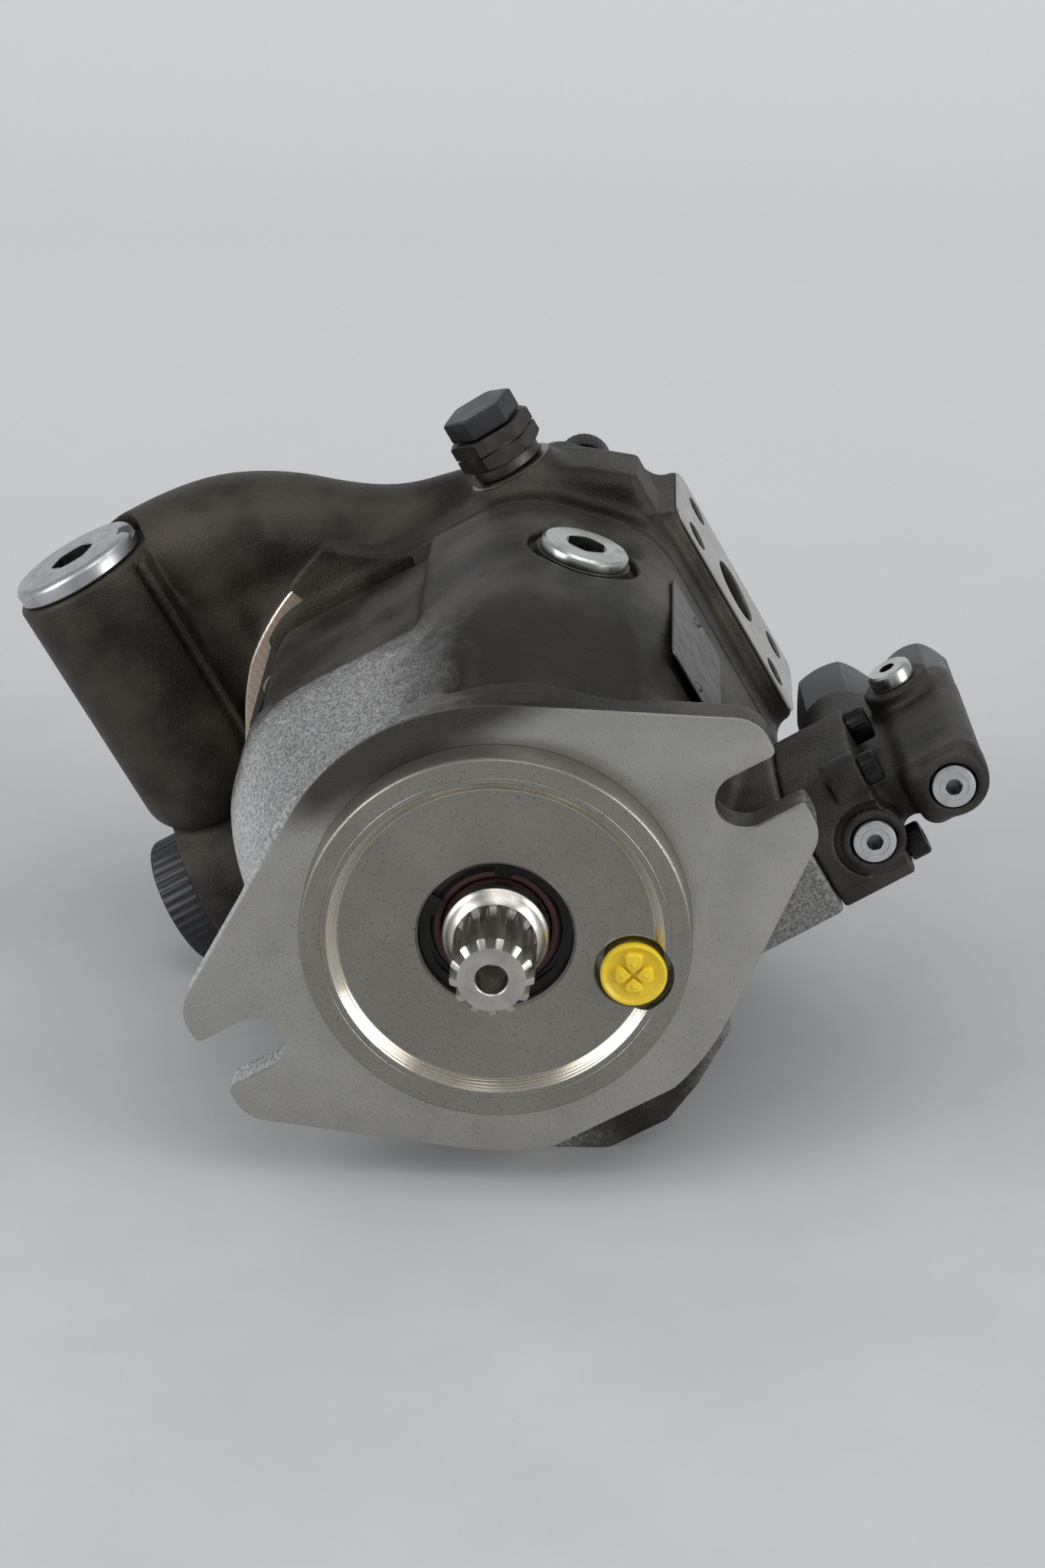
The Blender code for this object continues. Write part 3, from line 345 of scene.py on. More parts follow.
def hexagon(flats, turn=0.0, sides=6):
    r = flats / 2 / cos(pi / sides)
    return [(r * cos(turn + 2 * pi * i / sides), r * sin(turn + 2 * pi * i / sides))
            for i in range(sides)]


def punch(r, low, high, at=(0, 0, 0), axis="y", steps=64):
    """A round tool to cut with."""
    return lathe("punch", [(0, high), (r, high), (r, low), (0, low)], at=at, axis=axis, steps=steps)


def cut(obj, *tools):
    """Take the tools out of obj for good, and remove them."""
    for tool in tools:
        step = obj.modifiers.new("cut", "BOOLEAN")
        step.operation, step.solver, step.object = "DIFFERENCE", "EXACT", tool
        bpy.context.view_layer.update()
        seen = obj.evaluated_get(bpy.context.evaluated_depsgraph_get())
        mesh = bpy.data.meshes.new_from_object(seen)
        obj.modifiers.clear()
        obj.data = mesh
        obj.data.shade_smooth()
        obj.data.set_sharp_from_angle(angle=radians(28))
        bpy.data.objects.remove(tool)
    return obj


def dress(obj, material, slot, *replaced, body=BODY):
    """Give a piece its material, its body and the CAD nodes that it stands for.

    The mesh is turned into the row frame, so its box is a true one. Its own coordinates are kept
    as the attribute PLACE, which the materials' patterns follow.
    """
    mesh = obj.data
    own = np.empty(len(mesh.vertices) * 3, np.float32)
    mesh.vertices.foreach_get("co", own)
    mesh.attributes.new(PLACE, "FLOAT_VECTOR", "POINT").data.foreach_set("vector", own)
    mesh.transform(obj.matrix_world)
    obj.matrix_world = Matrix.Identity(4)
    obj.data.materials.clear()
    obj.data.materials.append(material)
    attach(obj, body)
    if replaced:
        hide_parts(*replaced)
    return obj


# ---- materials
class Paint:
    """A small helper around one Principled material and its node tree."""

    def __init__(self, name, metallic=0.0, own=True):
        self.material = bpy.data.materials.new(name)
        self.material.use_nodes = True
        self.tree = self.material.node_tree
        self.shader = self.tree.nodes["Principled BSDF"]
        self.shader.inputs["Metallic"].default_value = metallic
        if own:
            self.place = self.node("ShaderNodeAttribute", attribute_name=PLACE).outputs["Vector"]
        else:
            self.place = self.node("ShaderNodeTexCoord").outputs["Object"]

    def node(self, kind, **settings):
        made = self.tree.nodes.new(kind)
        for key, value in settings.items():
            setattr(made, key, value)
        return made

    def link(self, source, target):
        self.tree.links.new(source, target)

    def feed(self, value, target):
        if isinstance(value, (int, float)):
            target.default_value = value
        elif isinstance(value, tuple):
            target.default_value = value if len(value) != 3 or target.type == "VECTOR" else (*value, 1)
        else:
            self.link(value, target)

    def noise(self, size_mm, detail=4.0, roughness=0.55, stretch=None):
        made = self.node("ShaderNodeTexNoise")
        made.inputs["Scale"].default_value = 1 / (size_mm * MM)
        made.inputs["Detail"].default_value = detail
        made.inputs["Roughness"].default_value = roughness
        self.link(self.stretched(stretch) if stretch else self.place, made.inputs["Vector"])
        return made.outputs["Fac"]

    def grit(self, size_mm):
        made = self.node("ShaderNodeTexVoronoi")
        made.inputs["Scale"].default_value = 1 / (size_mm * MM)
        self.link(self.place, made.inputs["Vector"])
        return made.outputs["Distance"]

    def stretched(self, stretch):
        made = self.node("ShaderNodeMapping")
        made.inputs["Scale"].default_value = stretch
        self.link(self.place, made.inputs["Vector"])
        return made.outputs["Vector"]

    def math(self, operation, a, b=0.0):
        made = self.node("ShaderNodeMath", operation=operation)
        self.feed(a, made.inputs[0])
        self.feed(b, made.inputs[1])
        return made.outputs[0]

    def plus(self, a, b):
        return self.math("ADD", a, b)

    def times(self, a, b):
        return self.math("MULTIPLY", a, b)

    def between(self, value, low, high, first=0.0, last=1.0):
        made = self.node("ShaderNodeMapRange", interpolation_type="SMOOTHSTEP")
        for given, target in zip((value, low, high, first, last), made.inputs):
            self.feed(given, target)
        return made.outputs[0]

    def mix(self, share, a, b):
        made = self.node("ShaderNodeMix", data_type="RGBA")
        self.feed(share, made.inputs[0])
        self.feed(a, made.inputs[6])
        self.feed(b, made.inputs[7])
        return made.outputs[2]

    def parts(self):
        made = self.node("ShaderNodeSeparateXYZ")
        self.link(self.place, made.inputs[0])
        return made.outputs

    def radius(self, a, b):
        return self.math("SQRT", self.plus(self.times(a, a), self.times(b, b)))

    def rings(self, radius, pitch_mm):
        """Fine turning marks: a wave along the radius."""
        return self.math("SINE", self.times(radius, 2 * pi / (pitch_mm * MM)))

    def bump(self, height, depth_mm, after=None, strength=1.0):
        made = self.node("ShaderNodeBump")
        made.inputs["Distance"].default_value = depth_mm * MM
        made.inputs["Strength"].default_value = strength
        self.feed(height, made.inputs["Height"])
        if after:
            self.link(after, made.inputs["Normal"])
        self.link(made.outputs[0], self.shader.inputs["Normal"])
        return made.outputs[0]

    def colour(self, value):
        self.feed(value, self.shader.inputs["Base Color"])

    def rough(self, value):
        self.feed(value, self.shader.inputs["Roughness"])


def dim(colour, share):
    return tuple(v * share for v in colour)


def cast_iron(name, dark, light, blast=False, ground=0.5):
    """Phosphated iron as cast: sandy grain, brownish staining, worn bright on high spots."""
    p = Paint(name, metallic=ground)
    grain = p.noise(0.9, 6, 0.7)
    stain = p.noise(22, 3, 0.5)
    fine = p.grit(0.55)
    colour = p.mix(p.between(stain, 0.35, 0.68), dark, light)
    colour = p.mix(p.between(grain, 0.56, 0.74, 0.0, 0.55), colour, dim(light, 1.9))
    colour = p.mix(p.between(grain, 0.44, 0.26, 0.0, 0.6), colour, dim(dark, 0.45))
    rust = p.between(p.noise(3.2, 4, 0.6), 0.71, 0.76, 0.0, 0.35)
    colour = p.mix(rust, colour, (0.13, 0.062, 0.036))
    rough = p.between(grain, 0.3, 0.7, 0.40, 0.56)
    height = p.plus(grain, p.times(fine, 0.5))
    if blast:
        colour, lit = blasted(p, grain, colour)
        rough = p.plus(rough, p.times(lit, 0.06))
    p.colour(colour)
    p.rough(rough)
    soft = p.bump(p.noise(7, 3, 0.5), 0.5, strength=0.5)
    p.bump(height, 0.22, after=soft, strength=0.85)
    return p.material


def blasted(p, grain, colour):
    """The shoulder's shot-blasted side, paler than the rest, and painted shade on the recess beside it."""
    x, y, z = p.parts()[:3]
    edge = p.times(p.math("SUBTRACT", p.noise(5, 4, 0.6), 0.5), 0.022)
    left = p.between(p.plus(p.plus(x, p.times(z, -0.2)), edge), 0.012, -0.020)
    front = p.between(p.plus(y, edge), 0.064, 0.040)
    low = p.between(p.plus(x, edge), -0.030, -0.056)
    side = p.between(p.plus(p.plus(x, p.times(z, -1.0)), edge), 0.088, 0.104)
    lit = p.math("MAXIMUM", p.times(left, front), p.times(side, 0.6))
    pale = p.mix(p.between(grain, 0.35, 0.65), (0.22, 0.218, 0.212), (0.78, 0.78, 0.77))
    share = p.times(lit, p.plus(0.58, p.times(low, 0.4)))
    # painted shade: the recess floor faces forward into shade, so its colour is darkened here
    painted_recess_shade = p.times(p.between(p.plus(y, edge), 0.060, 0.043),
                  p.between(p.plus(x, edge), 0.014, 0.026))
    painted_recess_shade = p.times(painted_recess_shade, p.between(p.plus(z, edge), 0.026, 0.036))
    colour = p.mix(p.times(painted_recess_shade, 0.78), colour, (0.020, 0.0185, 0.015))
    return p.mix(share, colour, pale), lit


def machined(name, base, speck, axis="y", pitch=0.42, rough=0.32, mark=0.02, pits=0.6,
             metallic=0.85, painted_reflection_shift=False, polish=None):
    """A turned or milled face: concentric tool marks and open graphite pits."""
    p = Paint(name, metallic=metallic)
    x, y, z = p.parts()[:3]
    radius = p.radius(*{"y": (x, z), "x": (y, z), "z": (x, y)}[axis])
    marks = p.rings(p.plus(radius, p.times(p.noise(30, 2), 0.0008)), pitch)
    pit = p.math("MAXIMUM", p.between(p.noise(0.62, 5, 0.75), 0.43, 0.36, 0.0, pits),
                 p.between(p.noise(1.9, 3, 0.8), 0.33, 0.29, 0.0, pits))
    cloud = p.noise(26, 4, 0.6)
    colour = p.mix(p.between(cloud, 0.3, 0.7), base, dim(base, 0.84))
    colour = p.mix(p.between(marks, -0.2, 0.9, 0.0, 0.16), colour, dim(base, 0.6))
    if painted_reflection_shift:
        # painted dark reflection: the upper middle of the face is darkened in its colour, where the metal would
        # mirror dark surroundings
        top = p.between(p.plus(y, p.times(cloud, 0.006)), 0.044, 0.056)
        middle = p.between(p.math("ABSOLUTE", p.plus(x, painted_reflection_shift)), 0.052, 0.030)
        colour = p.mix(p.times(p.times(top, middle), 0.88), colour,
                       (0.030, 0.027, 0.022))
    rough = p.plus(p.between(cloud, 0.3, 0.7, rough - 0.03, rough + 0.07),
                   p.times(pit, 0.25))
    if polish:
        band = p.times(p.between(radius, polish[0] - 0.0001, polish[0]),
                      p.between(radius, polish[1], polish[1] - 0.0001))
        pit = p.times(pit, p.math("SUBTRACT", 1.0, band))
        rough = p.math("SUBTRACT", rough, p.times(band, 0.17))
        colour = p.mix(p.times(band, 0.75), colour, (0.62, 0.56, 0.46))
    p.colour(p.mix(pit, colour, speck))
    p.rough(rough)
    lines = p.bump(marks, mark * 0.35, strength=0.6)
    p.bump(p.times(pit, -1.0), 0.05, after=lines, strength=0.5)
    return p.material


def metal(name, base, rough=0.28, pitch=0.25, stain=None, metallic=1.0, scratch=0.3, axis="z",
          own=True, socket=0.0):
    """Turned steel or plating with fine rings, handling marks and slight tarnish."""
    p = Paint(name, metallic=metallic, own=own)
    x, y, z = p.parts()[:3]
    radius = p.radius(*{"y": (x, z), "x": (y, z), "z": (x, y)}[axis])
    cloud = p.noise(5, 4, 0.6)
    tint = stain or dim(base, 0.72)
    colour = p.mix(p.between(cloud, 0.42, 0.72, 0.0, 0.7), base, tint)
    if socket:
        # painted shade: the colour darkens inside the socket, where shade falls
        painted_socket_shade = p.between(radius, (socket + 0.1) * MM, (socket - 0.15) * MM, 0.0, 0.85)
        colour = p.mix(painted_socket_shade, colour, dim(base, 0.12))
    p.colour(colour)
    hair = p.noise(0.35, 3, 0.6, stretch=(1, 1, 0.12))
    p.rough(p.plus(p.between(cloud, 0.3, 0.7, rough - 0.04, rough + 0.09),
                   p.times(hair, 0.08)))
    rings = p.bump(p.rings(radius, pitch), 0.004, strength=scratch)
    p.bump(hair, 0.02, after=rings, strength=scratch)
    return p.material


def plastic(name, base, rough=0.42, grain_mm=0.5, depth=0.03, own=True):
    """Moulded plastic: faint mould grain, slight gloss changes and dust in the low spots."""
    p = Paint(name, own=own)
    cloud = p.noise(7, 4, 0.6)
    dust = tuple(min(1, v * 1.25 + 0.01) for v in base)
    p.colour(p.mix(p.between(cloud, 0.45, 0.75, 0.0, 0.5), base, dust))
    p.rough(p.between(cloud, 0.3, 0.7, rough - 0.05, rough + 0.08))
    p.bump(p.noise(grain_mm, 4, 0.6), depth, strength=0.5)
    return p.material


IRON = cast_iron("cast_iron_dark", (0.014, 0.0122, 0.0092), (0.060, 0.051, 0.037))
IRON_BLASTED = cast_iron("cast_iron_housing", (0.026, 0.024, 0.020), (0.084, 0.077, 0.064), blast=True)
IRON_VALVE = cast_iron("cast_iron_valve", (0.022, 0.020, 0.017), (0.062, 0.056, 0.048), ground=0.6)
MILLED = machined("machined_flange", (0.43, 0.42, 0.385), (0.10, 0.095, 0.085), axis="z", pitch=0.55,
                  pits=0.7, painted_reflection_shift=0.008)
TURNED = machined("machined_pilot", (0.285, 0.275, 0.24), (0.07, 0.064, 0.055), axis="z", pitch=0.62,
                  mark=0.06, pits=0.75, polish=(0.0410, 0.0438))
LAND = machined("machined_land", (0.56, 0.46, 0.36), (0.30, 0.25, 0.20), pitch=0.8, rough=0.25,
                pits=0.3)
PORT_FACE = machined("machined_port", (0.55, 0.54, 0.51), (0.2, 0.19, 0.17), axis="x", pitch=0.7)
SPOT_FACE = machined("machined_spot", (0.30, 0.28, 0.25), (0.1, 0.09, 0.08), axis="z", pitch=0.5)
GROUND = metal("ground_steel", (0.60, 0.57, 0.52), rough=0.2, pitch=0.18, axis="z")
SPLINE = metal("hobbed_steel", (0.50, 0.48, 0.44), rough=0.26, pitch=0.3, axis="z")
ZINC = metal("zinc_plating", (0.60, 0.63, 0.595), rough=0.22, pitch=0.35, stain=(0.40, 0.43, 0.38),
             socket=5.75)
ZINC_SMALL = metal("zinc_plating_small", (0.62, 0.65, 0.615), rough=0.2, pitch=0.35,
                   stain=(0.42, 0.45, 0.40), socket=2.3)
FACED = metal("faced_steel", (0.56, 0.57, 0.58), rough=0.26, pitch=0.45, scratch=0.6, socket=2.25)
FACED_BOSS = metal("faced_steel_boss", (0.52, 0.53, 0.54), rough=0.27, pitch=0.6, scratch=0.8,
                   stain=(0.36, 0.365, 0.37), socket=6.9)
BLACKENED = metal("blackened_steel", (0.026, 0.025, 0.025), rough=0.36, stain=(0.045, 0.042, 0.04))
PHOSPHATED = metal("phosphated_steel", (0.075, 0.070, 0.062), rough=0.40, pitch=0.5,
                   stain=(0.12, 0.11, 0.095))
SHEET = metal("plate_sheet", (0.16, 0.157, 0.150), rough=0.40, stain=(0.11, 0.107, 0.10))
CAP_BLACK = plastic("black_cap", (0.018, 0.018, 0.019), rough=0.38)
ADJUSTER = plastic("adjuster_coat", (0.085, 0.086, 0.088), rough=0.46, depth=0.05)
YELLOW = plastic("yellow_plug", (0.80, 0.57, 0.020), rough=0.30, depth=0.015)
RUBBER = plastic("seal_rubber", (0.020, 0.017, 0.017), rough=0.45, depth=0.02)
LIP = plastic("seal_lip", (0.060, 0.016, 0.013), rough=0.42, depth=0.01)

# the CAD bodies that stay have no coordinates of their own, so these follow the object's
INNER_FIBRE = plastic("gasket_fibre", (0.05, 0.047, 0.043), rough=0.8, depth=0.06, own=False)
INNER_BRONZE = metal("bronze", (0.48, 0.31, 0.13), rough=0.3, stain=(0.35, 0.20, 0.08), own=False)
INNER_SPRING = metal("spring_steel", (0.10, 0.095, 0.085), rough=0.4, own=False)
INNER_GROUND = metal("inner_ground_steel", (0.60, 0.57, 0.52), rough=0.2, own=False)
INNER_STEEL = metal("inner_steel", (0.46, 0.44, 0.41), rough=0.3, own=False)


# ---- flange outline
def arc(centre, r, first, last, steps):
    return [(centre[0] + r * cos(radians(first + (last - first) * i / steps)),
             centre[1] + r * sin(radians(first + (last - first) * i / steps)))
            for i in range(steps + 1)]


def flange_hull(inset=0.0):
    spots = arc((0, 0), TOP_R - inset, 10, 170, 60)
    spots += [(x, max(z, FLAT_Z + inset)) for x, z in arc((0, 0), BOTTOM_R - inset, 190, 350, 60)]
    for side in (-1, 1):
        for level in (-1, 1):
            spots += arc((side * EAR_X, level * EAR_Z), EAR_R - inset, 0, 360, 48)
    return [spots[i] for i in convex_hull_2d([Vector(s) for s in spots])]


def flange_with_slots():
    """The hull, run anticlockwise, turned in along each open slot; the slot mouths are eased."""
    hull = flange_hull()
    reach = EAR_X + EAR_R
    ease = 1.8
    line = []
    for i, spot in enumerate(hull):
        line.append(spot)
        after = hull[(i + 1) % len(hull)]
        for side in (-1, 1):
            at_end = abs(spot[0] - side * reach) < 0.2 and abs(after[0] - side * reach) < 0.2
            if at_end and spot[1] * after[1] < 0:
                way = 1 if after[1] > spot[1] else -1
                turns = [pi * k / 24 for k in range(25)]
                line += mouth(side, reach, ease, -way)
                line += [(side * (SLOT_X - SLOT_R * sin(t)), -way * SLOT_R * cos(t))
                         for t in turns]
                line += mouth(side, reach, ease, way)[::-1]
    return line


def mouth(side, reach, ease, level):
    """The rounded corner from the ear's end into the slot, on its upper or lower lip."""
    middle = (side * (reach - ease), level * (SLOT_R + ease))
    return [(middle[0] + side * ease * cos(pi / 2 * k / 5),
             middle[1] - level * ease * sin(pi / 2 * k / 5)) for k in range(6)]


# ---- housing
def octagon(clay, half, corner, k):
    x, z = np.abs(clay.x), np.abs(clay.z)
    sides = soft_max(x - half, z - half, k)
    return soft_max(sides, (x + z) / sqrt(2) - corner, k)


def sheet_of(clay, outline, low, high, k):
    """A flat outline of (x, z) points drawn out from low to high along y."""
    flat = polygon_distance(clay.x[:, 0, :], clay.z[:, 0, :], outline)[:, None, :]
    return rounded([flat, np.abs(clay.y - (low + high) / 2) - (high - low) / 2], k)


def make_housing():
    clay = Clay((-92, -1, -90), (92, 120, 92), GRID)
    x, y, z = clay.x, clay.y, clay.z
    neck = NECK_HALF / HALF
    grow = neck + (1 - neck) * np.maximum((y - 6) / (SHOULDER_Y - 6), 0)
    taper = octagon(clay, HALF * grow, CORNER * grow, 14.0) * 0.95
    section = octagon(clay, HALF, CORNER, 9.0)
    clay.add(soft_max(soft_max(section, taper, 9.0), np.maximum(5 - y, y - (JOINT_Y - 0.35)), 1.0))
    clay.add(rounded([sheet_of(clay, flange_with_slots(), 0.8, 12.0, 0.01) + 0.12], 0.7), 3.5)
    pad = clay.turned(TOE_ANGLE, PAD_X, VALVE_Y)
    clay.add(clay.box((48, VALVE_Y, -49), (PAD_X, VALVE_BLOCK_Y, -11), 1.5, pad), 3.0)
    clay.add(sheet_of(clay, FOOT_LINE, 24, 58, 1.4), 3.0)
    clay.take(ALONG_X.z * x + ALONG_Z.z * z + FLOOR_DROP, 0.8)

    # the slots run right through
    slot = np.sqrt(np.maximum(SLOT_X - np.abs(x), 0) ** 2 + z ** 2) - (SLOT_R - 0.12)
    clay.take(np.maximum(slot, y - 24), 0.6)
    across, out = (x - z) / sqrt(2), (x + z) / sqrt(2)
    take_recess(clay, across, out)
    clay.take(clay.box((-48, 53, 63.8), (11, 130, 95), 4.0), 2.5)
    clay.take(rounded([72.8 - (z - x) / sqrt(2), 62 - y], 3.0), 3.0)

    # the drain plug's spot face, its dark moat and the rough scoop behind it
    from_plug = np.sqrt(across ** 2 + (y - DRAIN_Y) ** 2)
    clay.take(rounded([from_plug - 15.4, CORNER - 1.2 - out], 0.6), 1.0)
    clay.take(rounded([np.abs(from_plug - 14.3) - 1.3, CORNER - 4.2 - out], 0.6), 0.5)
    scoop = np.sqrt(((across - 5) / 15) ** 2 + ((y - 100) / 8) ** 2 + ((out - CORNER - 1) / 5.5) ** 2)
    clay.take((scoop - 1) * 5.5, 1.5)
    clay.take(rounded([from_plug - 8.5, 58 - out], 0.5), 0.5)
    clay.bore("y", (0, 0), CAVITY_R, 24.5, 140, 3.0, 0.8)
    clay.bore("y", (0, 0), 21.3, -20, 40, 0.5, 0.5)
    clay.bore("y", PILOT_PORT, 10.6, -20, 4, 0.5, 0.5)
    for spot in BOLT_XZ:
        clay.bore("y", spot, 5.3, 92, 140, 0.4, 0.3)
    casting = clay.skin("housing_casting")
    dress(casting, IRON_BLASTED, "pump_housing", "pump_housing")
    make_flange_face()


def take_recess(clay, across, out):
    """The broad pocket in the shoulder: its floor falls to the flange, and turns the corner."""
    x, y, z = clay.x, clay.y, clay.z
    top_floor = 0.522 * (y - 45) - 0.852 * (z - 67.6)
    corner_floor = 0.50 * (y - 50) - 0.866 * (out - 75.6)
    floor = soft_min(top_floor, corner_floor, 9.0)
    left = 0.93 * (29.5 - 0.38 * (46 - y) - x)
    right = 0.97 * (across - 12.4 - 0.2 * (59 - y))
    clay.take(rounded([s + 0 * x + 0 * y + 0 * z for s in (floor, left, right, 12.4 - y)], 3.0), 3.5)


def make_flange_face():
    plate = slab("flange_face", [(-x, z) for x, z in flange_with_slots()], 0, 2.0, axis="front",
                 bevel=0.28)
    cut(plate, punch(PILOT_R - 1.3, -5, 5, steps=128))
    dress(plate, MILLED, "pump_housing")

    line = [(BORE_R, 1.8), (BORE_R, -6.0), (BORE_R + 0.7, -6.7), (40.9, -6.7), (41.1, -6.72),
            (43.75, -9.35), (44.0, -9.5), (45.2, -9.5), (45.35, -9.4), (45.5, -9.5),
            (50.0, -9.5), (50.55, -9.15), (PILOT_R, -8.5), (PILOT_R, -0.35), (50.2, -0.3),
            (50.2, 1.8)]
    disc = lathe("pilot_disc", [(r, h) for r, h in line], steps=192)
    pocket = lathe("pocket", [(0, 6), (9.9, 6), (9.9, -6.2), (10.5, -6.9), (10.5, -14), (0, -14)],
                   at=PILOT_PORT_AT, steps=64)
    cut(disc, pocket)
    dress(disc, TURNED, "pump_housing")
    well = lathe("pilot_port_well", [(10.3, -6.9), (9.95, -6.6), (9.95, 0.5), (0, 0.5), (0, 1.2),
                                     (10.5, 1.2), (10.5, -6.6)],
                 at=PILOT_PORT_AT, steps=64)
    dress(well, MILLED, "pump_housing")


# ---- rear casting
def make_rear_casting():
    clay = Clay((-113, 116, -80), (78, 198, 112), GRID)
    x, y, z = clay.x, clay.y, clay.z
    section = octagon(clay, HALF, CORNER, 9.0)
    middle, reach = (JOINT_Y + 0.35 + REAR_Y) / 2, (REAR_Y - JOINT_Y - 0.35) / 2
    body = rounded([section, np.abs(y - middle) - reach], 2.0)
    body = soft_max(body, (np.sqrt(x * x + z * z) * 0.35 + y * 0.9367) - 196, 4.0)
    body = soft_max(body, 0.931 * (z - 69.4) + 0.365 * (y - 155), 2.5)
    clay.add(body)
    clay.bar("y", (0, 0), 36, 160, 195.8, 3.0, 6.0)
    clay.add(sheet_of(clay, LUMP_LINE, 127, 152, 4.0), 4.0)
    clay.add(sheet_of(clay, JOINT_EAR, JOINT_Y + 0.35, 128, 0.8), 3.0)
    rib = line_distance(x[:, 0, :], z[:, 0, :], [(-20, 69.5), (34, 58)])[:, None, :]
    clay.add(np.sqrt(rib ** 2 + (y - 150) ** 2) - 12, 5.0)
    line = eased_line(DUCT_LINE, 5)
    duct = line_distance(x[:, 0, :], z[:, 0, :], line)[:, None, :]
    clay.add(np.sqrt(duct ** 2 + (y - DUCT_Y) ** 2) - DUCT_R, 9.0)
    from_boss = np.sqrt((x - BOSS_X) ** 2 + (y - BOSS_Y) ** 2)
    boss = clay.rod("z", (BOSS_X, BOSS_Y), BOSS_R, 17, BOSS_TOP, 1.2)
    boss = soft_max(boss, from_boss * 0.6 - (z - 17) * 0.8 - 6.5, 5.0)
    clay.block((BOSS_X - 20, BOSS_Y, 50), (BOSS_X + 25, 171, BOSS_TOP), 2.0, 4.0)
    clay.add(boss, 2.0)
    clay.block((-68.2, 126.5, 4), (-65.6, 150, BOSS_TOP - 2), 1.2, 1.6)
    clay.block((BOSS_X + 2, 136, -24), (-50, 170, 84), 5.0, 6.0)
    clay.block((BOSS_X + 8, 141, 18), (-8, 163, 70), 4.0, 10.0)
    clay.block((BOSS_X + 8, 143, 50), (-26, 161, 84), 4.0, 8.0)
    clay.bar("x", (SUCTION_Y, SUCTION_Z), 24.5, -104.9, -50, 1.2, 5.0)
    clay.block((50, PORT_Y - 20, -36), (PORT_X - 0.3, PORT_Y + 20, 36), 2.5, 4.0)
    clay.bar("z", FITTING, 12.5, 50, 70.3, 1.0, 5.0)

    clay.bore("z", (BOSS_X, BOSS_Y), BOSS_R + 0.3, BOSS_TOP, 140, 0.2, 0.3)
    clay.bore("z", (BOSS_X, BOSS_Y), 14.3, 42, 140, 0.3, 0.4)
    clay.bore("x", (PORT_Y, 0), PORT_R + 0.1, 28, 90, 0.4, 0.4)
    for dy, dz in PORT_SCREWS:
        clay.bore("x", (PORT_Y + dy, dz), 4.6, PORT_X - 16, 90, 0.3, 0.3)
    clay.bore("x", (SUCTION_Y, SUCTION_Z), 14.5, -130, -40, 0.4, 0.4)
    clay.bore("y", (0, 0), 43.6, 100, 118.6, 0.4, 0.4)
    clay.bore("y", (0, 0), 21.4, 100, 172, 1.0, 0.4)
    clay.bore("y", (24, 49), 8.5, 100, 152, 0.4, 0.4)
    clay.bore("z", FITTING, 6.5, 58, 90, 0.3, 0.3)
    for spot in BOLT_XZ:
        clay.bore("y", spot, 5.6, 100, 200, 0.3, 0.3)
        clay.bore("y", spot, 9.6, REAR_Y - 0.05, 200, 0.3, 0.4)
    casting = clay.skin("port_casting_shell")
    dress(casting, IRON, "port_casting", "port_casting")

    def land_section(turn):
        r = LAND_R + LAND_STEP * min(1.0, max(0.0, (turn - radians(214)) / radians(15)))
        return [(62, 118.2), (r - 0.5, 118.2), (r, 118.6), (r, 124.0), (r - 0.7, 124.6), (62, 124.6)]

    land = swept("register_land", land_section, 145, 247, 110)
    dress(land, LAND, "port_casting")
    face = slab("pressure_port_plate", rounded_rectangle(39.0, 71.0, 5.0), 0, 0.8,
                at=(PORT_X - 0.8, PORT_Y, 0), axis="side", bevel=0.25)
    cut(face, punch(PORT_R, 60, 90, (0, PORT_Y, 0), "x"),
        *(punch(4.6, 60, 90, (0, PORT_Y + dy, dz), "x", 32) for dy, dz in PORT_SCREWS))
    dress(face, PORT_FACE, "port_casting")
    spot = lathe("fitting_spot_face",
                 [(8.8, 70.2), (12.2, 70.2), (12.35, 70.45), (12.1, 70.6), (8.8, 70.6)],
                 at=(*FITTING, 0), axis="z")
    dress(spot, SPOT_FACE, "port_casting")


def rounded_rectangle(width, height, r, steps=6):
    line = []
    for cx, cy, first in ((1, 1, 0), (-1, 1, 90), (-1, -1, 180), (1, -1, 270)):
        line += arc((cx * (width / 2 - r), cy * (height / 2 - r)), r, first, first + 90, steps)
    return line


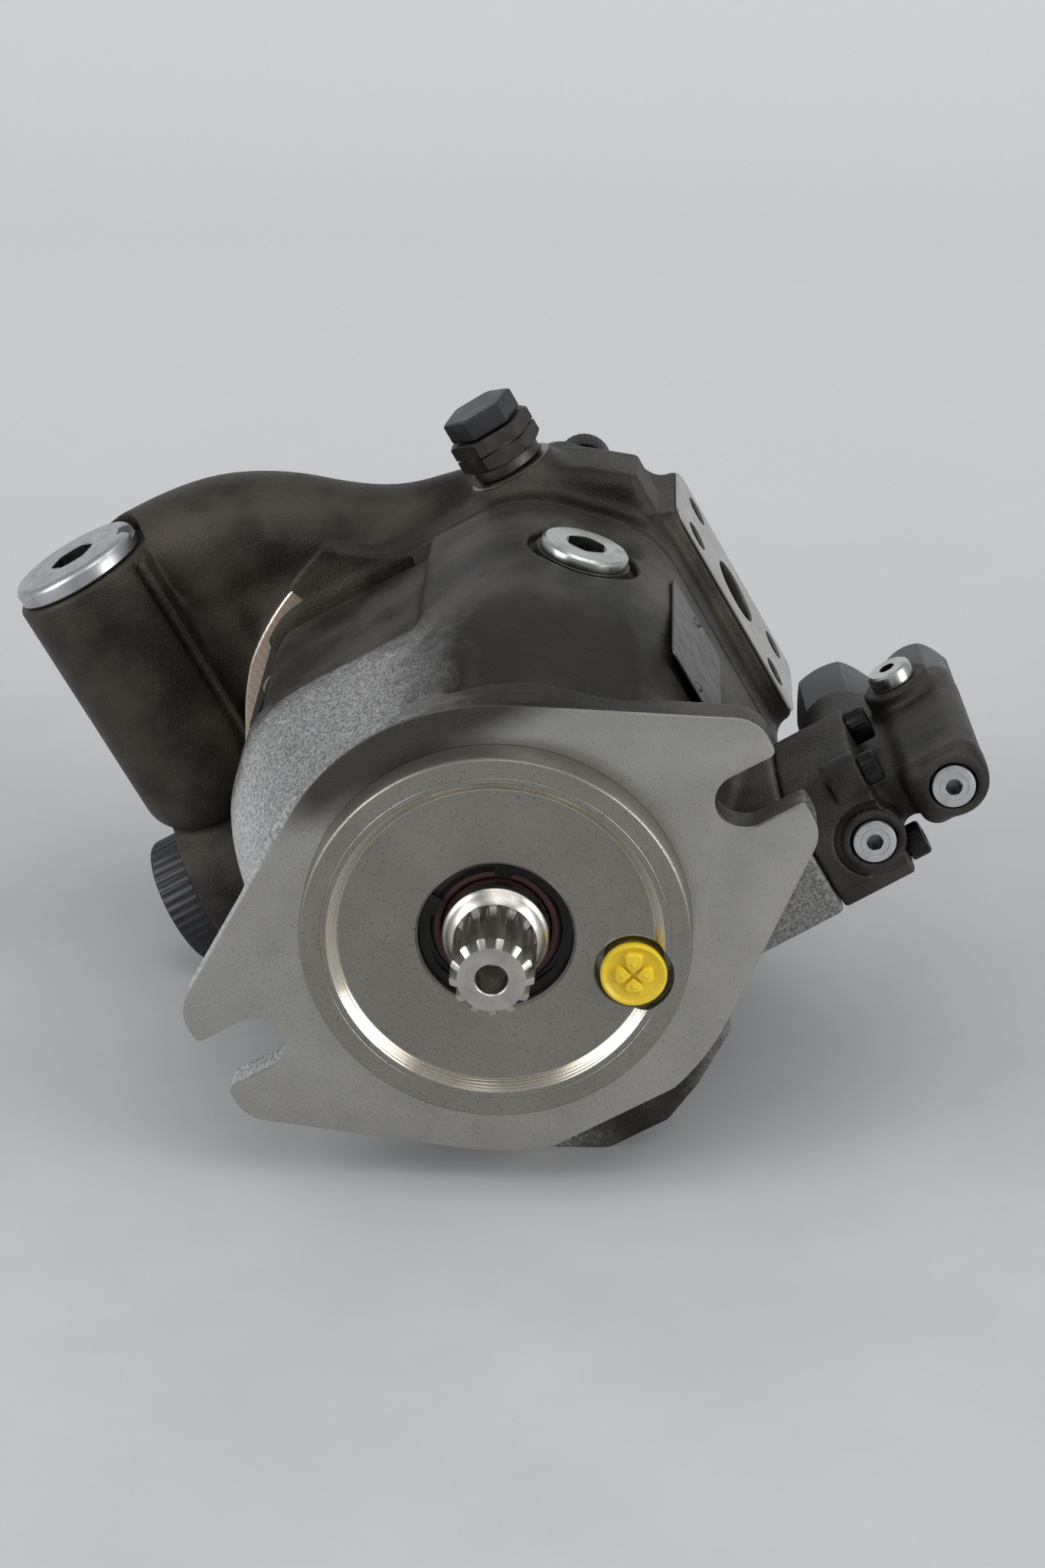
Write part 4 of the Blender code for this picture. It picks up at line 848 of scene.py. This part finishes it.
# ---- control valve
def make_valve():
    (lx, lz), (hx, hz) = LOW_BORE, HIGH_BORE
    home = PUMP @ VALVE
    clay = Clay((76, 19.5, -51), (131, 107, -8), FINE_GRID)
    clay.add(clay.box((PAD_X + 0.35, VALVE_Y, -48.6), (99, VALVE_BLOCK_Y, -12), 1.3))
    clay.take(clay.box((60, 0, -60), (103, VALVE_Y + 0.9, lz - 9.5), 0.3), 1.5)
    clay.take(clay.box((60, 46, -13.2), (103, 90, 0), 0.4), 0.8)
    clay.bar("y", (lx, lz), 8.6, VALVE_Y - 1.1, 40, 1.0, 1.3)
    clay.take(np.abs(clay.rod("y", (lx, lz), 9.8, 0, VALVE_Y + 0.8, 0.2)) - 0.7, 0.8)
    high = clay.box((hx - 11.5, VALVE_Y - 0.6, hz - 9.5), (hx + 9.9, HIGH_END, hz + 9.5), 5.0)
    cut_corner = (clay.x - hx) * 0.62 - (clay.z - hz) * 0.785 - 9.2
    clay.add(soft_max(high, cut_corner, 4.0), 2.0)
    clay.bar("y", (hx + 0.4, hz), 9.2, VALVE_Y - 0.9, 34, 2.2, 1.4)
    clay.block((lx, VALVE_Y + 8, hz - 6), (hx, HIGH_END - 1, hz + 6.5), 1.5, 2.5)
    clay.bar("y", (lx, lz + 1), 12, 52, LOW_END, 1.6, 2.0)
    clay.bar("z", SIDE_PLUG, 9.5, hz, hz + 13.5, 1.0, 2.5)
    clay.bar("x", HIDDEN_SCREW, 6.0, 90, 99, 0.6, 1.0)
    for spot in (LOW_BORE, HIGH_BORE):
        clay.bore("y", spot, 6.3, 0, VALVE_Y + 4.5, 0.2, 0.3)
        clay.bore("y", spot, 5.35, 0, 120, 0.2, 0.2)
    clay.bore("z", SIDE_PLUG, 4.2, hz + 9, 0, 0.2, 0.2)
    for spot in VALVE_SCREWS:
        clay.bore("x", spot, 3.0, 60, 130, 0.2, 0.2)
    casting = clay.skin("valve_casting")
    casting.matrix_world = home
    dress(casting, IRON_VALVE, "control_valve_body", "control_valve_body")

    plug_line = [(0, 13), (4.9, 13), (4.9, 4.4), (5.8, 4), (5.8, 0.5), (5.6, 0.15), (5.2, 0),
                 (3.9, 0), (3.8, 0.12), (3.7, 0.0), (0, 0)]
    for name, (bx, bz), end, (cap_r, cap_length) in (("low", LOW_BORE, LOW_END, LOW_ADJUSTER),
                                                     ("high", HIGH_BORE, HIGH_END, HIGH_ADJUSTER)):
        plug = lathe(name + "_plug", plug_line, at=(bx, VALVE_Y - 1.8, bz), steps=72, home=home)
        cut(plug, hex_tool(4.0, (bx, VALVE_Y - 4.3, bz), "y", 5.6, home, turn=0.35))
        dress(plug, FACED, name + "_bore_plug", name + "_bore_plug")
        cap = hex_cap(name + "_cap", cap_r * sqrt(3), cap_length, (bx, end + 0.3, bz), home)
        dress(cap, ADJUSTER, name + "_adjuster_cap", name + "_adjuster_cap")
    top = hz + 13.8
    side = lathe("side_plug_body",
                 [(0, 4), (5.3, 4), (6.0, 3.5), (6.2, 2.9), (6.2, 0), (3.8, 0), (3.8, -3), (0, -3)],
                 at=(*SIDE_PLUG, top), axis="z", steps=64, home=home)
    cut(side, hex_tool(4.0, (*SIDE_PLUG, top + 1.4), "z", 8, home))
    dress(side, ZINC_SMALL, "side_plug", "side_plug")
    for i, (sy, sz) in enumerate(VALVE_SCREWS):
        node = "valve_screw_%d" % (i + 1)
        screw = cap_screw("valve_cap_screw_%d" % (i + 1), 4.75, 5.4, 4.0, (99.3, sy, sz), "x",
                          home, 2.5, 32.0)
        dress(screw, BLACKENED, node, node)
    third = cap_screw("valve_cap_screw_3", 4.4, 4.8, 3.6, (99.3, *HIDDEN_SCREW), "x",
                      home, 2.0, 4.0)
    dress(third, BLACKENED, "control_valve_body")


def hex_tool(flats, at, axis, length, home=PUMP, turn=0.0):
    return slab("hex_tool", hexagon(flats, turn), 0, length, at=at, axis=axis, home=home)


def hex_cap(name, across, length, at, home):
    """A hexagon nut with its corners turned off at the free end."""
    nut = slab(name, hexagon(across, 0.0), -3.5, length, at=at, axis="y", home=home, bevel=0.4)
    r = across / sqrt(3)
    ring = lathe("turn_off", [(r * 0.80, length + 1), (r * 1.4, length + 1), (r * 1.4, length - 3.6),
                              (r * 1.02, length - 3.6)], at=at, steps=64, home=home)
    return cut(nut, ring)


def cap_screw(name, head_r, head_h, flats, at, axis, home, shank_r, shank, grips=24):
    """A socket head screw whose head is knurled round its side."""
    screw = lathe(name, [(0, head_h), (head_r - 0.6, head_h), (head_r - 0.12, head_h - 0.45),
                         (head_r, head_h - 0.8), (head_r, 0.5), (head_r - 0.3, 0), (shank_r, 0),
                         (shank_r, -shank), (0, -shank)], at=at, axis=axis, steps=grips * 4, home=home)
    flute(screw, grips, head_r - 0.05, 0.3, lambda wave: 0.035 * (0.5 + 0.5 * wave))
    offset = {"x": Vector((1, 0, 0)), "y": Vector((0, 1, 0)), "z": Vector((0, 0, 1))}[axis]
    spot = Vector(at) + offset * (head_h * 0.42)
    return cut(screw, hex_tool(flats, spot, axis, head_h, home))


def flute(obj, count, from_r, above, depth):
    """Press grooves into the rim beyond from_r, each cut to depth(wave), the wave from -1 to 1."""
    for vert in obj.data.vertices:
        if hypot(vert.co.x, vert.co.y) / MM > from_r and vert.co.z > above * MM:
            shrink = 1 - depth(cos(count * atan2(vert.co.y, vert.co.x)))
            vert.co.x *= shrink
            vert.co.y *= shrink


# ---- shaft and seal
TEETH, TIP_R, ROOT_R, NOSE_Y = 13, 10.9, 9.15, -33.0


def make_shaft():
    """The spline is lofted: one ring of points for each station along the shaft."""
    per_tooth, full, nose_r, fade_y = 16, 9, 8.95, -15.5
    stations = [(NOSE_Y, -0.5), (-32.85, -0.2), (-30.9, 1.9)]
    stations += [(y, full) for y in (-26, -20, fade_y, -14.2, -13.2, -12.4, -11.8, -11.4, -10.9)]
    bm = bmesh.new()
    rings = []
    for y, reach in stations:
        fade = min(max((y - fade_y) / 4.4, 0), 1) ** 2
        root = ROOT_R + (TIP_R - ROOT_R - 0.05) * fade
        ring = []
        for i in range(TEETH * per_tooth):
            u = (i / per_tooth + 0.5) % 1 - 0.5
            rise = min(max((0.315 - abs(u)) / 0.15, 0), 1)
            r = root + (TIP_R - root) * rise ** 0.75
            r = min(r, nose_r + reach)
            turn = 2 * pi * i / per_tooth / TEETH + pi / 2
            ring.append(bm.verts.new((r * cos(turn) * MM, r * sin(turn) * MM, y * MM)))
        rings.append(ring)
    loft(bm, rings)
    spline = finish_mesh("spline_nose", bm, axis="y", sharp=24)
    drill = lathe("drill", [(0, 18), (4.1, 17), (4.1, 0.35), (4.5, -0.1), (4.5, -2), (0, -2)],
                  at=(0, NOSE_Y, 0), steps=48)
    cut(spline, drill)
    dress(spline, SPLINE, "drive_shaft", "drive_shaft", body="rotating_group")
    collar = lathe("shaft_collar", [(0, -10.9), (10.2, -10.9), (10.9, -10.4), (11.9, -9.6),
                                    (12.6, -8.6), (13.2, -7.9), (13.75, -7.5), (14.0, -7.0), (14.0, 10),
                                    (14.7, 11), (14.7, 30), (16, 30.2), (16, 35), (13.6, 36),
                                    (13.6, 144), (12, 146), (12, 167), (11.5, 168), (0, 168)],
                   steps=120, sharp=40)
    dress(collar, GROUND, "drive_shaft", body="rotating_group")


def make_seal():
    seal = lathe("seal_body", [(15.6, 5.4), (19.9, 5.4), (20.1, 5.0), (20.1, -1.4), (19.6, -1.9),
                               (18.6, -1.9), (18.4, -1.2), (17.2, -0.9), (16.6, -1.5),
                               (15.8, -1.3), (15.6, 0.0)])
    dress(seal, RUBBER, "shaft_seal", "shaft_seal")
    lip = lathe("seal_lip", [(14.35, -0.6), (14.5, -1.6), (15.2, -2.2), (16.2, -2.0), (16.4, -1.0),
                             (15.5, -0.2), (15.3, 3.4), (14.9, 3.4), (14.8, 0.4)])
    dress(lip, LIP, "shaft_seal")
    first, last = radians(-62), radians(242)

    def clip_section(turn):
        near_end = min(turn - first, last - turn) < 0.3
        inner = 15.9 if near_end else 17.3 + 0.5 * cos(3 * turn) ** 6
        return [(inner, -4.3), (20.0, -4.3), (20.2, -4.1), (20.2, -3.2), (inner, -3.2)]

    clip = swept("snap_ring", clip_section, -62, 242, 120)
    dress(clip, BLACKENED, "seal_retaining_ring", "seal_retaining_ring")


# ---- plugs and caps
def make_yellow_plug():
    """A push-in plug: a dished face with four raised pads, parted by a cross, each with a dot."""
    plug = lathe("pilot_plug_cup", [(0, -0.6), (7.9, -0.6), (7.9, -7.0), (8.3, -7.6), (8.7, -7.9),
                                    (8.7, -9.2), (8.5, -9.55), (8.1, -9.65), (7.7, -9.5), (7.3, -8.9),
                                    (6.6, -8.6), (0, -8.45)], at=PILOT_PORT_AT, sharp=50)
    dress(plug, YELLOW, "pilot_port_plug", "pilot_port_plug", body="pilot_port_plug")
    lean, foot, top, dot_r = 29.31, -8.3, -10.0, 3.1
    for i in range(4):
        turn = radians(lean + 90 * i)
        long = 6.3 if i == 3 else 5.0
        shape = [(0.75, 0), (2.55, 1.95), (long - 0.9, 2.35), (long, 1.5), (long, -1.5),
                 (long - 0.9, -2.35), (2.55, -1.95)]
        c, s = cos(turn), sin(turn)
        bm = bmesh.new()
        low, high = [], []
        for a, b in shape:
            wide_a, wide_b = 1.04 * a + 0.12 * (1 if a > 3 else 0), 1.16 * b
            low.append(bm.verts.new(((c * wide_a - s * wide_b) * MM, (s * wide_a + c * wide_b) * MM,
                                     foot * MM)))
            high.append(bm.verts.new(((c * a - s * b) * 0.9 * MM, (s * a + c * b) * 0.9 * MM,
                                      top * MM)))
        for k in range(len(shape)):
            j = (k + 1) % len(shape)
            bm.faces.new((low[k], low[j], high[j], high[k]))
        bm.faces.new(high[::-1])
        bm.faces.new(low)
        bmesh.ops.bevel(bm, geom=[e for e in bm.edges if e.verts[0] in high or e.verts[1] in high],
                        offset=0.2 * MM, segments=2, profile=0.5, affect="EDGES")
        pad = finish_mesh("pilot_plug_pad_%d" % (i + 1), bm, at=PILOT_PORT_AT, axis="y", sharp=35)
        dress(pad, YELLOW, "pilot_port_plug", body="pilot_port_plug")
        dot = lathe("pilot_plug_dot_%d" % (i + 1),
                    [(0, -9.8), (0.62, -9.8), (0.55, -10.1), (0.35, -10.25), (0, -10.3)],
                    at=(PILOT_PORT[0] + dot_r * c, 0, PILOT_PORT[1] - dot_r * s), steps=24)
        dress(dot, YELLOW, "pilot_port_plug", body="pilot_port_plug")


def corner_at(distance):
    return (distance / sqrt(2), DRAIN_Y, distance / sqrt(2))


def make_drain_plug():
    plug = lathe("drain_plug", [(0, 3.4), (10.6, 3.4), (11.4, 3.25), (12.1, 2.6), (12.2, 2.2),
                                (12.2, 0.5), (11.8, 0), (8, 0), (8, -9), (0, -9)],
                 at=corner_at(CORNER - 0.9), axis="corner")
    cut(plug, hex_tool(10.0, corner_at(CORNER - 3.6), "corner", 10, turn=0.5))
    dress(plug, ZINC, "case_drain_plug", "case_drain_plug")
    washer = lathe("drain_washer", [(9, 0.35), (13.1, 0.35), (13.3, 0.15), (13.3, -0.2), (9, -0.2)],
                   at=corner_at(CORNER - 1.1), axis="corner")
    dress(washer, PHOSPHATED, "case_drain_plug")


def make_fitting():
    def at(rise):
        return (*FITTING, FITTING_FOOT + rise)

    def turned(name, outline, rise):
        return lathe(name, outline, at=at(rise), axis="z")

    lean, hexes_rise, cap_rise = radians(12), 3.85, 13.6
    collar = turned("fitting_collar", [(0, 4.2), (8.9, 4.2), (9.9, 3.9), (10.1, 3.4), (10.1, 1.0),
                                       (9.8, 0.5), (8.6, 0), (6, 0), (6, -10), (0, -10)], 0)
    dress(collar, PHOSPHATED, "load_sense_fitting", "load_sense_fitting")
    hexes = slab("fitting_hex", hexagon(21.5, lean), 0, 9.4, at=at(hexes_rise), bevel=0.3)
    cut(hexes, turned("below", [(10.2, -0.2), (14, -0.2), (14, 2.0)], hexes_rise),
        turned("above", [(10.7, 9.7), (14, 9.7), (14, 7.6)], hexes_rise),
        turned("groove", [(10.6, 4.5), (14, 4.5), (14, 5.1), (10.6, 5.1)], hexes_rise))
    dress(hexes, PHOSPHATED, "load_sense_fitting")
    cap = slab("fitting_cap_shell", hexagon(18.7, lean), 0, 6.4, at=at(cap_rise), bevel=0.7, segments=4)
    cut(cap, turned("above", [(8.9, 6.8), (13, 6.8), (13, 4.6)], cap_rise))
    dress(cap, CAP_BLACK, "fitting_cap", "fitting_cap", body="fitting_cap")


def make_boss_plug():
    plug = lathe("boss_plug", [(0, 5.5), (13.4, 5.6), (13.6, 5.45), (13.8, 5.6), (17.4, 5.6),
                               (18.3, 5.3), (19.1, 4.5), (19.4, 3.8), (19.4, 0.6), (19.0, 0.05),
                               (14, 0), (14, -22), (0, -22)],
                 at=(BOSS_X, BOSS_Y, BOSS_TOP + 0.3), axis="z", steps=128)
    notch = slab("notch", [(15.5, -3.0), (24, -3.0), (24, 3.0), (15.5, 3.0)], 2.6, 9,
                 at=(BOSS_X, BOSS_Y, BOSS_TOP + 0.3))
    cut(plug, hex_tool(12.0, (BOSS_X, BOSS_Y, BOSS_TOP - 3), "z", 12, turn=0.2), notch)
    dress(plug, FACED_BOSS, "relief_valve_plug", "relief_valve_plug")


def make_suction_cap():
    """A push-in cap with a ribbed rim and a shallow dished face."""
    ribs = 44
    base = lathe("suction_cap_shell", [(0, 9.6), (15.2, 9.6), (16.0, 10.2), (17.4, 11.0), (19.3, 11.0),
                                       (19.75, 10.5), (19.8, 9.8), (19.8, 1.0), (19.4, 0.2), (13.8, 0),
                                       (13.8, -13), (12, -13), (12, -1), (0, -1)],
                 at=(-105.3, SUCTION_Y, SUCTION_Z), axis="-x", steps=8 * ribs, sharp=45)
    flute(base, ribs, 19.5, -99, lambda wave: 0.022 * (0.5 - 0.5 * wave) ** 0.7)
    dress(base, CAP_BLACK, "suction_cap", "suction_cap")


def make_nameplate():
    y, z, rivet_reach = 71.5, 17.25, 24.5
    plate = slab("name_plate_sheet", rounded_rectangle(56.6, 27.1, 2.2), 0.3, 1.0,
                 at=(HALF, y, z), axis="side", bevel=0.18)
    dress(plate, SHEET, "name_plate", "name_plate")
    for i, dy in enumerate((-rivet_reach, rivet_reach)):
        rivet = lathe("name_plate_rivet_%d" % (i + 1),
                      [(0, 1.1), (0.9, 1.0), (1.5, 0.6), (1.75, 0), (0, 0)],
                      at=(HALF + 1.0, y + dy, z), axis="x", steps=32)
        dress(rivet, SHEET, "name_plate")


def make_bolts():
    for i, (x, z) in enumerate(BOLT_XZ):
        node = "housing_bolt_%d" % (i + 1)
        screw = cap_screw("socket_screw_%d" % (i + 1), 8.0, 10.0, 8.0, (x, REAR_Y + 0.3, z), "y",
                          PUMP, 4.9, 80.0, grips=30)
        dress(screw, BLACKENED, node, node)


def dress_inner_parts():
    """The CAD bodies that stay: the sealed insides and the gasket."""
    kinds = {"joint_gasket": INNER_FIBRE, "cradle_shell": INNER_BRONZE, "slipper": INNER_BRONZE,
             "valve_plate": INNER_BRONZE, "spring": INNER_SPRING, "bearing": INNER_GROUND,
             "piston": INNER_GROUND, "spool": INNER_GROUND}
    for name, obj in frame["nodes"].items():
        paint = next((p for word, p in kinds.items() if word in name), INNER_STEEL)
        obj.data.materials.clear()
        obj.data.materials.append(paint)


# ---- stage, light and camera
def make_stage():
    bm = bmesh.new()
    rise = [(-3.0, 0.0), (0.9, 0.0)]
    rise += [(0.9 + 0.6 * sin(a), 0.6 - 0.6 * cos(a)) for a in
             (radians(d) for d in range(6, 91, 6))]
    rise += [(1.5, 3.2)]
    verts = [[bm.verts.new((x, y, z)) for y, z in rise] for x in (-4.5, 4.5)]
    for i in range(len(rise) - 1):
        bm.faces.new((verts[0][i], verts[1][i], verts[1][i + 1], verts[0][i + 1]))
    mesh = bpy.data.meshes.new("sweep")
    bm.to_mesh(mesh)
    bm.free()
    mesh.shade_smooth()
    floor = placed("sweep", mesh, Matrix.Identity(4))
    p = Paint("paper_sweep", own=False)
    crease = p.noise(90, 5, 0.6)
    fibre = p.noise(1.6, 4, 0.7)
    shade = p.between(p.plus(crease, p.times(fibre, 0.12)), 0.35, 0.80)
    # painted light: the paper turns lighter towards the back
    depth = p.between(p.parts()[1], -0.1, 0.9)
    paper = p.mix(shade, (0.55, 0.552, 0.554), (0.60, 0.60, 0.60))
    p.colour(p.mix(depth, paper, (0.84, 0.84, 0.84)))
    p.rough(p.between(fibre, 0.3, 0.7, 0.72, 0.82))
    p.bump(crease, 2.0, strength=0.25)
    mesh.materials.append(p.material)


def add_light(name, spot, aim, size, power, colour=(1, 1, 1)):
    data = bpy.data.lights.new(name, "AREA")
    data.shape, data.size, data.size_y, data.energy, data.color = "RECTANGLE", *size, power, colour
    turn = (Vector(aim) - Vector(spot)).to_track_quat("-Z", "Y").to_matrix().to_4x4()
    placed(name, data, Matrix.Translation(spot) @ turn)


def make_lights():
    world = bpy.data.worlds.new("studio")
    world.use_nodes = True
    colour, strength = world.node_tree.nodes["Background"].inputs[:2]
    colour.default_value, strength.default_value = (0.92, 0.95, 1.0, 1), 0.42
    bpy.context.scene.world = world
    add_light("overhead", (0.35, -0.55, 1.6), (0.1, -0.2, 0), (1.5, 1.2), 7.5)
    add_light("left_window", (-1.4, -0.75, 0.75), (0, 0, 0.08), (0.9, 1.3), 13, (0.97, 0.98, 1.0))
    add_light("right_window", (1.35, -0.8, 0.55), (0, 0, 0.08), (0.8, 1.1), 11)


def make_camera():
    data = bpy.data.cameras.new("camera")
    data.sensor_fit, data.sensor_height, data.lens = "VERTICAL", 36.0, 90.17
    data.clip_start, data.clip_end = 0.05, 20
    ahead = Vector((-0.03192, 0.92180, -0.38634)).normalized()
    right = ahead.cross(Vector((-0.01333, 0.38611, 0.92235))).normalized()
    up = right.cross(ahead)
    turn = Matrix((right, up, -ahead)).transposed().to_4x4()
    spot = CENTRE + Vector((0.03875, -0.92496, 0.42756))
    bpy.context.scene.camera = placed("camera", data, Matrix.Translation(spot) @ turn)


make_camera()
make_stage()
make_lights()
make_housing()
make_rear_casting()
make_valve()
make_shaft()
make_seal()
make_yellow_plug()
make_drain_plug()
make_fitting()
make_boss_plug()
make_suction_cap()
make_nameplate()
make_bolts()
dress_inner_parts()

bpy.context.scene.view_settings.view_transform = "Standard"
